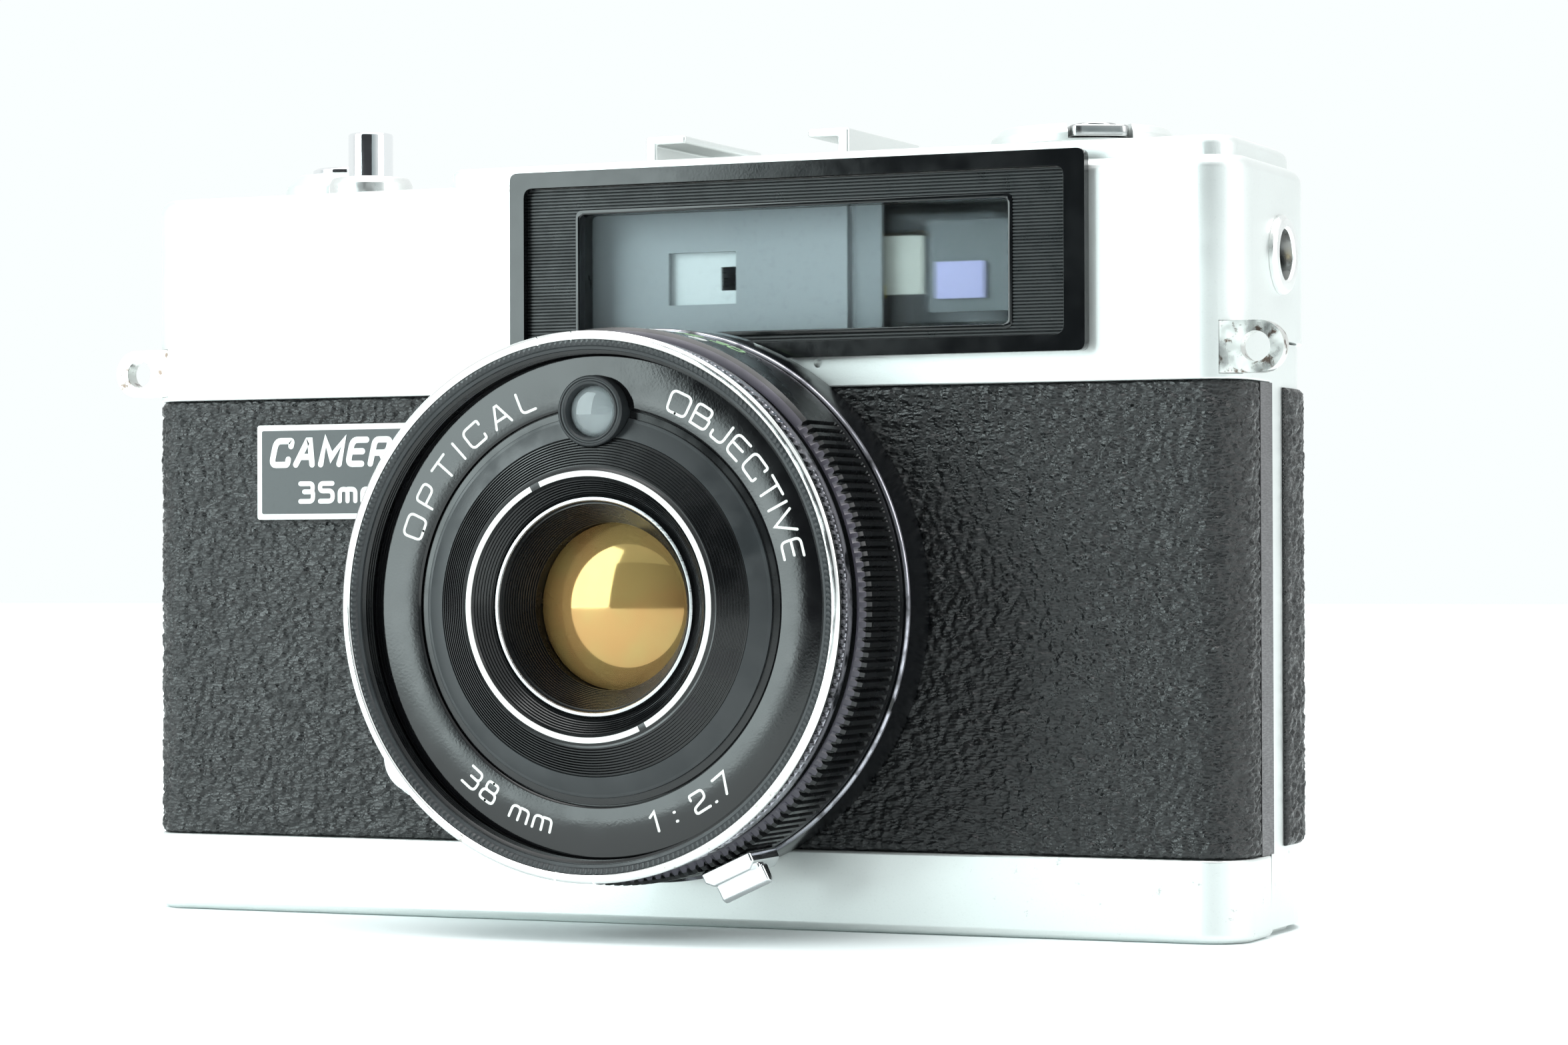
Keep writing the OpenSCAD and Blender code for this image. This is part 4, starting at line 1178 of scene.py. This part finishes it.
    white_r = 11.85
    cell_profile = [[17.7, 15.92, 0], [17.7, 16.12, 0.05], [16.95, 16.12, 0.08], [16.8, 16.25, 0.05],
        [15.15, 17.0, 0.15]]
    cell_profile += ribs([15.1, 17.05], [12.45, 18.1], 0.25, 0.16)
    cell_profile += [[12.35, 18.2, 0], [white_r + 0.28, 18.38, 0.03], [white_r - 0.28, 18.38, 0.03]]
    cell_profile += ribs([11.5, 18.2], [9.95, 16.7], 0.27, 0.14)
    cell_profile += [[9.9, 16.75, 0], [9.75, 17.15, 0.05], [9.45, 17.15, 0.05]]
    cell_profile += ribs([9.35, 16.95], [7.62, 13.5], 0.27, 0.11)
    cell_profile += [[7.6, 13.3, 0], [7.6, 10.6, 0], [9.9, 10.6, 0], [9.9, 15.92, 0]]
    cell = turned("lens_cell_body", fillet(cell_profile, 0.02, 2), place, "ribbed_black", 256)
    carve(cell, [rod(on_meter, 3.25, 14, 19)])
    stand_in(cell, "lens_cell")

    smooth_profile = fillet([[16.6, 16.2, 0], [17.06, 16.12, 0], [17.06, 16.4, 0.08],
        [16.75, 16.47, 0.1], [15.2, 17.14, 0.1], [15.15, 17.0, 0]], 0.05, 3)
    smooth = turned("cell_satin_band", smooth_profile, place, "grey_satin", 256)
    carve(smooth, [rod(on_meter, 3.25, 14, 19)])
    go_with(smooth, "lens_cell")

    # the white line, broken by two notches
    notch = math.radians(1.6)
    for k, (start, stop) in enumerate(((117, 296), (-62, 114))):
        spread = np.linspace(math.radians(start) + notch / 2, math.radians(stop) - notch / 2, 120)
        profile = np.array([[white_r - 0.26, 18.34], [white_r - 0.24, 18.47], [white_r + 0.24, 18.47],
            [white_r + 0.26, 18.34]])
        points = np.concatenate([place(np.full(120, r), spread, np.full(120, h)) for r, h in profile])
        faces = []
        for i in range(4):
            a, b = i * 120, (i + 1) % 4 * 120
            faces += [(a + j, a + j + 1, b + j + 1, b + j) for j in range(119)]
        faces += [(0, 120, 240, 360), (479, 359, 239, 119)]
        line = make(f"white_line_{k + 1}", points, faces, "engraving")
        go_with(line, "lens_cell")

    edge_profile = fillet([[9.72, 17.1, 0], [9.78, 17.22, 0.04], [9.5, 17.26, 0.04], [9.42, 17.1, 0]],
        0.04, 3)
    edge = turned("cell_bright_edge", edge_profile, place, "steel", 192)
    go_with(edge, "lens_cell")


def domed(name, radius, rim, rise, back, material, steps=18, count=128):
    """A lens with a domed front: its rim is at that distance, and its middle stands rise further."""
    dome = (radius * radius + rise * rise) / (2 * abs(rise)) if rise else 1e9
    profile = [[AXIS_R, back], [radius, back]]
    for k in range(steps):
        r = radius * (1 - k / steps)
        bulge = math.sqrt(dome * dome - r * r) - (dome - abs(rise))
        profile.append([r, rim + math.copysign(bulge, rise)])
    profile.append([AXIS_R, rim + rise])
    return turned(name, profile, on_lens, material, count, closed=False, sharp=50)


def build_glass():
    front = domed("front_element_glass", 7.55, 12.1, 2.05, 10.9, "coated_glass")
    stand_in(front, "front_element")
    second = domed("second_element_glass", 6.9, 10.2, -1.5, 7.4, "rose_coating")
    go_with(second, "shutter_housing")

    bezel_profile = fillet([[2.3, 15.95, 0], [3.18, 15.95, 0], [3.18, 17.7, 0.2], [2.95, 17.9, 0.1],
        [2.85, 17.72, 0.05], [2.72, 17.72, 0.05], [2.62, 17.9, 0.05], [2.42, 17.75, 0.1],
        [2.3, 17.0, 0.1]], 0.08)
    bezel = turned("meter_bezel_ring", bezel_profile, on_meter, "grey_satin", 128)
    stand_in(bezel, "meter_bezel")
    profile = [[AXIS_R, 16.6], [2.28, 16.6], [2.28, 16.8]]
    profile += [[2.28 * math.cos(math.radians(a)),
        16.8 + 0.75 * math.sin(math.radians(a))] for a in range(10, 90, 10)]
    profile += [[AXIS_R, 17.55]]
    window = turned("meter_window", profile, on_meter, "meter_dome", 96, closed=False, sharp=50)
    stand_in(window, "meter_glass")
    cell = turned("meter_cell_face",
        fillet([[AXIS_R, 14.5, 0], [2.55, 14.5, 0.1], [2.55, 15.6, 0.15], [1.9, 15.5, 0.2],
        [AXIS_R, 15.3, 0]], 0.1, closed=False), on_meter, "sensor", 96, closed=False)
    stand_in(cell, "meter_cell")


def build_lens_letters():
    def on_ring(middle, radius, inward):
        """Text round the name ring. inward text has its feet towards the lens axis."""

        def place(x, y, up):
            angle = math.radians(middle) - x / (radius + 1) * inward
            reach = radius + y if inward > 0 else radius + 2.0 - y
            return on_lens(reach, angle, np.full(len(x), NAME_FACE + up))

        return place

    words = (
        ("ring_word_left", "OPTICAL", 135, 1, 1.9, 0.66),
        ("ring_word_right", "OBJECTIVE", 40.5, 1, 1.9, 0.36),
        ("ring_focal_length", "38 mm", 243, -1, 1.75, 0.36),
        ("ring_aperture", "1 : 2.7", 298, -1, 1.75, 0.36),
    )
    for name, text, middle, inward, height, gap in words:
        piece = letters(name, text, height, 0.24, gap, on_ring(middle, NAME_FOOT_R, inward),
            "engraving")
        go_with(piece, "name_ring")

    def on_focus(middle, foot):
        def place(x, y, up):
            angle = math.radians(middle) - x / FOCUS_R
            return on_lens(np.full(len(x), FOCUS_R + up), angle, foot + y)

        return place

    metres = (("1", 132), ("1.2", 121), ("1.5", 110), ("2", 100), ("3", 91), ("5", 82), ("9", 73))
    feet = (("3", 128), ("4", 116), ("5", 106), ("7", 96), ("10", 87), ("15", 78), ("30", 69))
    rows = (metres, 9.9, "scale_white"), (feet, 7.0, "scale_green")
    for row, (numbers, foot, material) in enumerate(rows):
        for k, (text, angle) in enumerate(numbers):
            piece = letters(f"scale_{row + 1}_{k + 1}", text, 1.5, 0.22, 0.3, on_focus(angle, foot),
                material)
            go_with(piece, "focus_ring")


# ---- Fittings ----


def build_nameplate():
    low, high = corners("nameplate")
    x0, z0, x1, z1 = low[0], low[2], high[0], high[2]
    rim = 0.55

    def outline(inset, radius):
        return rectangle(x0 + inset, x1 - inset, z0 + inset, z1 - inset, radius, 5)

    plate = prism("nameplate_border", outline(0, 0.3), 1, low[1], high[1], "white_paint")
    soften(plate, 0.1, 2)
    stand_in(plate, "nameplate")
    field = prism("nameplate_field_plate", outline(rim, 0.2), 1, low[1] - 0.03, low[1] + 0.2,
        "nameplate_field")
    soften(field, 0.02, 1)
    go_with(field, "nameplate")

    def flat(cx, foot):
        def place(x, y, up):
            return np.stack([cx + x, np.full(len(x), low[1] - 0.03 - up), foot + y], -1)

        return place

    rows = (
        ("nameplate_word", "CAMERA", 2.3, 0.60, 0.52, (x0 + x1) / 2 - 0.2, z0 + 5.3, 0.24, 0.80),
        ("nameplate_format", "35mm", 1.7, 0.46, 0.46, (x0 + x1) / 2 - 0.4, z0 + 1.75, 0.0, 1.0),
    )
    for name, text, height, width, gap, cx, foot, slant, broad in rows:
        piece = letters(name, text, height, width, gap, flat(cx, foot), "white_paint", slant=slant,
            broad=broad)
        go_with(piece, "nameplate")


def placed_at(x, y, degrees):
    """Turns a piece about an upright axis through its origin and moves it to a place."""
    return Matrix.Translation(Vector((x, y, 0)) * MM) @ Matrix.Rotation(math.radians(degrees), 4, "Z")


def build_top_fittings():
    # shutter button and its collar
    low, high = corners("shutter_collar")
    profile = fillet([[2.26, DECK_Z - 1.5, 0.05], [3.1, DECK_Z - 1.5, 0.05], [3.1, DECK_Z, 0],
        [4.1, DECK_Z, 0], [4.1, high[2] - 0.7, 0.1], [3.75, high[2], 0.5], [2.7, high[2], 0.2],
        [2.26, high[2] - 0.4, 0.1]], 0.1, 6)
    collar = turned("shutter_collar_ring", profile, upright(BUTTON_X, BUTTON_Y), "soft_chrome", 128)
    stand_in(collar, "shutter_collar")
    profile = fillet([[AXIS_R, 57.2, 0], [1.2, 57.2, 0.05], [1.2, 65, 0], [3, 65, 0.05], [3, 66, 0.05],
        [2.2, 66, 0], [2.2, 76.1, 0.45], [1.55, 76.1, 0.1], [1.3, 75.8, 0.05], [1.3, 72.1, 0],
        [AXIS_R, 72.1, 0]], 0.1, 6, closed=False)
    button = turned("shutter_button_body", profile, upright(BUTTON_X, BUTTON_Y), "chrome", 128,
        closed=False)
    stand_in(button, "shutter_button")

    # rewind knob: rounded edge, and the slot that the crank folds into
    low_z, high_z = knob_low[2], knob_high[2]
    r, slot_floor = KNOB_R, high_z - 1.5
    shaft_r = (corners("rewind_shaft")[1][0] - corners("rewind_shaft")[0][0]) / 2
    shaft_top = corners("rewind_shaft")[1][2]
    profile = fillet([[shaft_r, low_z, 0.05], [r - 0.4, low_z, 0.2], [r, low_z + 0.3, 0.2],
        [r, high_z - 0.9, 0.5], [r - 0.8, high_z - 0.05, 0.5], [r - 2, high_z, 0.3],
        [AXIS_R, high_z, 0], [AXIS_R, shaft_top, 0], [shaft_r, shaft_top, 0]], 0.2, 6)
    knob = turned("rewind_knob_body", profile, upright(KNOB_X, KNOB_Y), "satin_silver")
    spin = placed_at(KNOB_X, KNOB_Y, -60)
    slot = block((-12, -3, slot_floor), (12, 3, 78))
    slot.data.transform(spin)
    carve(knob, [slot])
    weigh(knob)
    stand_in(knob, "rewind_knob")

    crank_low, crank_high = corners("rewind_crank")[0][2], corners("rewind_crank")[1][2]
    arm_high = crank_low + 1.1
    outline = fillet([(-3.3, -2.7), (r - 0.3, -2.7), (r - 0.3, 2.7), (-3.3, 2.7)], 1.0, 8)
    arm = prism("rewind_crank_arm", outline, 2, crank_low, arm_high, "dark_chrome")
    soften(arm, 0.2, 3)
    arm.modifiers.clear()
    grip_profile = [[AXIS_R, arm_high - 0.2, 0], [2, arm_high - 0.2, 0.1], [2, crank_high, 0.15],
        [AXIS_R, crank_high, 0]]
    grip = make("grip", *lathe(fillet(grip_profile, 0.1, closed=False), upright(r - 3, 0), turn(64),
        closed=False), None)
    carve(arm, [grip], "UNION")
    arm.data.transform(spin)
    stand_in(arm, "rewind_crank")

    # wind lever and its cap
    x, y = WIND_X, WIND_Y
    profile = fillet([[AXIS_R, 52.2, 0], [2, 52.2, 0.1], [2, DECK_Z + 0.4, 0], [5.9, DECK_Z + 0.4, 0.1],
        [6.1, DECK_Z + 0.8, 0.1], [6.1, 71.8, 0.6], [4.9, 73.0, 0.8], [3.4, 73.2, 0.1],
        [AXIS_R, 73.2, 0]], 0.1, 6, closed=False)
    hub = turned("wind_lever_hub", profile, upright(x, y), "satin_silver", 160, closed=False)
    outline = fillet([(4, -3), (16.4, -2.6), (17.2, 0), (16.4, 2.6), (4, 3)], 1.6, 8)
    arm = prism("arm", outline, 2, DECK_Z + 0.4, DECK_Z + 1.9, "chrome")
    soften(arm, 0.35, 3)
    arm.modifiers.clear()
    arm_angle = 115
    arm.data.transform(placed_at(x, y, arm_angle))
    arm.name = "wind_lever_arm"
    thumb = fillet([[AXIS_R, DECK_Z + 1.7, 0], [2.1, DECK_Z + 1.7, 0.1], [2.2, DECK_Z + 3.3, 0.4],
        [AXIS_R, DECK_Z + 3.4, 0.1]], 0.1, closed=False)
    tip = arc(x, y, 14, arm_angle, arm_angle, 1)[0]
    rest = turned("wind_lever_thumb_rest", thumb, upright(*tip), "black_plastic", 64, closed=False)
    stand_in(hub, "wind_lever")
    go_with(arm, "wind_lever")
    go_with(rest, "wind_lever")
    profile = fillet([[AXIS_R, 73.2, 0], [3.4, 73.2, 0.05], [3.4, 73.6, 0.1], [3.1, 73.8, 0.1],
        [0.7, 73.8, 0.05], [AXIS_R, 73.7, 0]], 0.1, closed=False)
    stand_in(turned("wind_cap_disc", profile, upright(x, y), "chrome", 96, closed=False), "wind_cap")

    # accessory shoe, folded from sheet
    low, high = corners("accessory_shoe")
    shoe_x = (low[0] + high[0]) / 2
    floor_z, lip_z, top_z = TIER_Z + 0.1, TIER_Z + 2.1, high[2]
    half, slot_half, lip_half = (high[0] - low[0]) / 2, 9.35, 6.3
    right = [(half, low[2]), (half, top_z), (lip_half, top_z), (lip_half, lip_z), (slot_half, lip_z),
        (slot_half, floor_z)]
    outline = [(shoe_x + x, z) for x, z in right] + [(shoe_x - x, z) for x, z in right[::-1]]
    shoe = prism("accessory_shoe_rails", outline, 1, low[1], high[1], "satin_silver")
    soften(shoe, 0.25, 3)
    stand_in(shoe, "accessory_shoe")

    low, high = corners("counter_window")[0][2], corners("counter_window")[1][2]
    profile = [[AXIS_R, low], [2.68, low], [2.68, high - 0.15], [2.4, high], [AXIS_R, high]]
    place = upright(*middle("counter_window")[:2])
    stand_in(turned("counter_window_lens", profile, place, "clear_glass", 96, closed=False),
        "counter_window")


def build_side_fittings():
    out = corners("sync_socket")[1][0]
    place = sideways(SYNC_Y, SYNC_Z)
    profile = fillet([[2.3, HALF_W - 2.5, 0], [2.95, HALF_W - 3.5, 0], [2.95, HALF_W, 0],
        [3.6, HALF_W, 0.05], [3.6, out - 0.35, 0.15], [3.3, out, 0.2], [2.5, out, 0.1],
        [2.3, out - 0.25, 0.1]], 0.1, 5)
    socket = turned("sync_socket_ring", profile, place, "soft_chrome", 128)
    stand_in(socket, "sync_socket")
    profile = fillet([[AXIS_R, HALF_W - 2.5, 0], [2.28, HALF_W - 2.5, 0], [2.28, HALF_W - 1.6, 0.1],
        [1.2, HALF_W - 1.6, 0.05], [1.2, HALF_W - 0.4, 0.1], [0.8, HALF_W - 0.4, 0.1],
        [0.7, HALF_W - 1.2, 0.05], [AXIS_R, HALF_W - 1.2, 0]], 0.1, closed=False)
    core = turned("sync_contact_core", profile, place, "black_plastic", 96, closed=False)
    stand_in(core, "sync_contact")
    profile = fillet([[AXIS_R, HALF_W - 1.6, 0], [0.42, HALF_W - 1.6, 0], [0.42, HALF_W - 0.4, 0.15],
        [AXIS_R, HALF_W - 0.3, 0]], 0.1, closed=False)
    go_with(turned("sync_contact_pin", profile, place, "brass", 48, closed=False), "sync_contact")

    # strap lugs, rounded at the tip, with their loops
    y0, y1 = FRONT_Y + 0.5, FRONT_Y + 2.1
    for side, name in ((-1, "left"), (1, "right")):
        tip, r = 57.45, 2.3
        outline = [(51.8, LUG_Z - r), *arc(tip, LUG_Z, r, -90, 90, 24), (51.8, LUG_Z + r)]
        outline = [(side * x, z) for x, z in outline]
        lug = prism(f"strap_lug_{name}", outline, 1, y0, y1, "bright_lug")
        carve(lug, [rod(facing(side * 57.15, LUG_Z), 1.35, y0 - 1, y1 + 1, 64)])
        soften(lug, 0.3, 3)
        (stand_in if side < 0 else go_with)(lug, "strap_lugs")

    # eyepiece
    low, high = corners("eyepiece_bezel")
    cx, _, cz = middle("eyepiece_bezel")

    def window(half_x, half_z, radius):
        return rectangle(cx - half_x, cx + half_x, cz - half_z, cz + half_z, radius)

    bezel = prism("eyepiece_frame", window(7, 5, 1.6), 1, BACK_Y + 0.02, high[1], "black_plastic")
    carve(bezel, [prism("collar", window(5.9, 3.9, 0.8), 1, BACK_Y - 2.5, BACK_Y + 0.5, None)], "UNION")
    carve(bezel, [prism("hole", window(4.6, 2.8, 0.6), 1, 0, 40, None)])
    soften(bezel, 0.25, 3)
    stand_in(bezel, "eyepiece_bezel")
    low, high = corners("eyepiece_lens")
    pane = prism("eyepiece_pane", window(4.55, 2.75, 0.5), 1, low[1], high[1], "clear_glass")
    soften(pane, 0.15, 2)
    stand_in(pane, "eyepiece_lens")


def build_front_fittings():
    # chrome focus tab at the lower right of the focus ring
    angle = math.radians(-65)

    def on_tab(across, out, height):
        """A place on the tab: across it, out from the lens axis, and in front of the body."""
        x = out * math.cos(angle) - across * math.sin(angle)
        z = out * math.sin(angle) + across * math.cos(angle)
        return (LENS_X + x, FRONT_Y - height, LENS_Z + z)

    saddle = fillet([(-2.6, 25.06), (2.6, 25.06), (2.6, 26.1), (1.9, 26.7), (-1.9, 26.7), (-2.6, 26.1)],
        0.3)
    ends = [[on_tab(across, out, height) for across, out in saddle] for height in (6.4, 12.4)]
    tab = make("focus_tab_saddle", *loft(ends), "chrome")
    soften(tab, 0.25, 3)
    stand_in(tab, "focus_tab")
    lip = fillet([(9.4, 26.4), (10.6, 26.4), (10.5, 28.0), (10.0, 28.3), (9.5, 28.0)], 0.3)
    ends = [[on_tab(across, out, height) for height, out in lip] for across in (-2.5, 2.5)]
    grip = make("focus_tab_grip", *loft(ends), "chrome")
    soften(grip, 0.2, 3)
    go_with(grip, "focus_tab")

    # self-timer lever
    px, pz = LENS_X - 26.1, LENS_Z - 14.5
    profile = fillet([[AXIS_R, -0.1, 0], [3.7, -0.1, 0], [3.7, 2.0, 0.3], [3.2, 2.6, 0.3],
        [1.2, 2.6, 0.1], [0.9, 2.4, 0.1], [AXIS_R, 2.4, 0]], 0.1, 5, closed=False)
    disc = turned("self_timer_disc", profile, ahead(px, pz), "chrome", 96, closed=False)
    stand_in(disc, "self_timer_lever")
    outline = fillet([(-1.9, 0), (1.9, 0), (1.9, 17.2), (0.9, 18.9), (-0.9, 18.9), (-1.9, 17.2)], 0.8,
        6)
    tilt = math.radians(12)
    placed = [(px + u * math.cos(tilt) - v * math.sin(tilt),
        pz + u * math.sin(tilt) + v * math.cos(tilt)) for u, v in outline]
    arm = prism("self_timer_arm", placed, 1, FRONT_Y - 2.2, FRONT_Y - 1.0, "chrome")
    soften(arm, 0.25, 3)
    go_with(arm, "self_timer_lever")


# ---- CAD nodes that stay, with their materials ----

KEPT = {
    "body_casting": "die_casting",
    "chassis_floor": "die_casting",
    "chassis_roof": "die_casting",
    "light_seals": "foam",
    "cover_screws": "steel",
    "back_door": "satin_silver",
    "pressure_plate": "dark_steel",
    "pressure_spring": "steel",
    "hinge_pin": "steel",
    "door_latch": "steel",
    "finder_lens": "clear_glass",
    "beam_splitter": "violet_glass",
    "rangefinder_arm": "steel",
    "button_spring": "steel",
    "counter_dial": "ivory_plastic",
    "take_up_spool": "spool_plastic",
    "sprocket": "steel",
    "rewind_shaft": "steel",
    "shutter_housing": "black_metal",
    "rear_element": "clear_glass",
    "upper_blade": "dark_steel",
    "lower_blade": "dark_steel",
    "galvanometer": "steel",
    "meter_needle": "brass",
    "battery": "steel",
    "battery_cover": "soft_chrome",
    "tripod_socket": "steel",
    "rewind_button": "chrome",
}


def dress_kept():
    """Gives the CAD nodes that stay their materials."""
    for name, material in KEPT.items():
        obj = nodes[name]
        obj.data.materials.clear()
        obj.data.materials.append(MATERIALS[material])
        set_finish(obj, SLOT_OF.get(material, material))


# ---- Stage, light and camera ----


def build_stage():
    pale = (0.88, 0.93, 0.93)
    f = Finish("studio_floor", pale, 0.7)
    f.tint(f.span(f.noise(60, detail=2), 0.3, 0.8, 0, 0.2), tuple(0.97 * c for c in pale))
    size = 3000
    floor = block((-size, -size, -2), (size, size, 0), "floor", "studio_floor")
    del floor["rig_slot"]

    # the room: white behind, above and at the sides, dim in front of the camera
    world = bpy.data.worlds.new("studio")
    world.use_nodes = True
    tree = world.node_tree
    background = tree.nodes["Background"]
    background.inputs["Strength"].default_value = 1.0
    way = tree.nodes.new("ShaderNodeTexCoord").outputs["Generated"]
    lean = tree.nodes.new("ShaderNodeVectorMath")
    lean.operation = "DOT_PRODUCT"
    lean.inputs[1].default_value = (0.0, 1.0, 0.45)
    share = tree.nodes.new("ShaderNodeMapRange")
    share.interpolation_type = "SMOOTHSTEP"
    share.inputs["From Min"].default_value, share.inputs["From Max"].default_value = -0.8, -0.1
    mix = tree.nodes.new("ShaderNodeMix")
    mix.data_type = "RGBA"
    mix.inputs[6].default_value = (0.36, 0.43, 0.44, 1)
    mix.inputs[7].default_value = (0.955, 1.0, 1.0, 1)
    tree.links.new(way, lean.inputs[0])
    tree.links.new(lean.outputs["Value"], share.inputs["Value"])
    tree.links.new(share.outputs["Result"], mix.inputs["Factor"])
    tree.links.new(mix.outputs[2], background.inputs["Color"])
    bpy.context.scene.world = world

    def panel(name, place, aim, width, height, power, colour=(1, 1, 1)):
        lamp = bpy.data.lights.new(name, "AREA")
        lamp.shape = "RECTANGLE"
        lamp.size, lamp.size_y = width, height
        lamp.energy = power
        lamp.color = colour
        obj = bpy.data.objects.new(name, lamp)
        obj.location = place
        obj.rotation_euler = (Vector(aim) - Vector(place)).to_track_quat("-Z", "Y").to_euler()
        bpy.context.scene.collection.objects.link(obj)

    centre = (0, 0, 0.035)
    panel("left_softbox", (-0.75, -0.86, 0.38), centre, 0.75, 0.9, 13, (0.86, 1.0, 1.0))
    panel("overhead", (0.05, 0.1, 1.0), centre, 1.0, 1.0, 4)
    panel("right_fill", (0.9, -0.1, 0.4), centre, 0.5, 0.6, 2)
    sky = bpy.data.lights.new("ceiling", "SUN")
    sky.energy, sky.angle = 1.7, 1.0
    bpy.context.scene.collection.objects.link(bpy.data.objects.new("ceiling", sky))

    # a dark screen behind the camera, seen only in reflections
    screen = bpy.data.meshes.new("dark_screen")
    left, right, away, high = -0.36, 0.55, -0.85, 0.5
    screen.from_pydata([(left, away, -0.1), (right, away, -0.1), (right, away, high),
        (left, away, high)], [], [(0, 1, 2, 3)])
    obj = bpy.data.objects.new("dark_screen", screen)
    bpy.context.scene.collection.objects.link(obj)
    f = Finish("dark_cloth", (0.012, 0.012, 0.014), 0.9)
    f.bump(f.noise(3, detail=2), 0.2)
    screen.materials.append(MATERIALS["dark_cloth"])
    obj.visible_camera = False
    obj.visible_shadow = False


def build_camera():
    data = bpy.data.cameras.new("view")
    data.lens = 93.9
    data.sensor_width = 36.0
    data.clip_start, data.clip_end = 0.01, 50
    obj = bpy.data.objects.new("view", data)
    yaw, pitch, roll = math.radians(23.54), math.radians(0.62), math.radians(-0.18)
    ahead = Vector((-math.sin(yaw) * math.cos(pitch), math.cos(yaw) * math.cos(pitch), math.sin(pitch)))
    right = Vector((math.cos(yaw), math.sin(yaw), 0))
    up = right.cross(ahead)
    right, up = right * math.cos(roll) + up * math.sin(roll), up * math.cos(roll) - right * math.sin(
        roll)
    turned_to = Matrix((right, up, -ahead)).transposed().to_4x4()
    obj.matrix_world = Matrix.Translation((0.1621, -0.3587, 0.0333)) @ turned_to
    bpy.context.scene.collection.objects.link(obj)
    bpy.context.scene.camera = obj


build_covers()
build_leatherette()
build_finder()
build_lens()
build_glass()
build_lens_letters()
build_nameplate()
build_top_fittings()
build_side_fittings()
build_front_fittings()
dress_kept()
build_stage()
build_camera()

view = bpy.context.scene.view_settings
view.view_transform = "Standard"
view.look = "None"
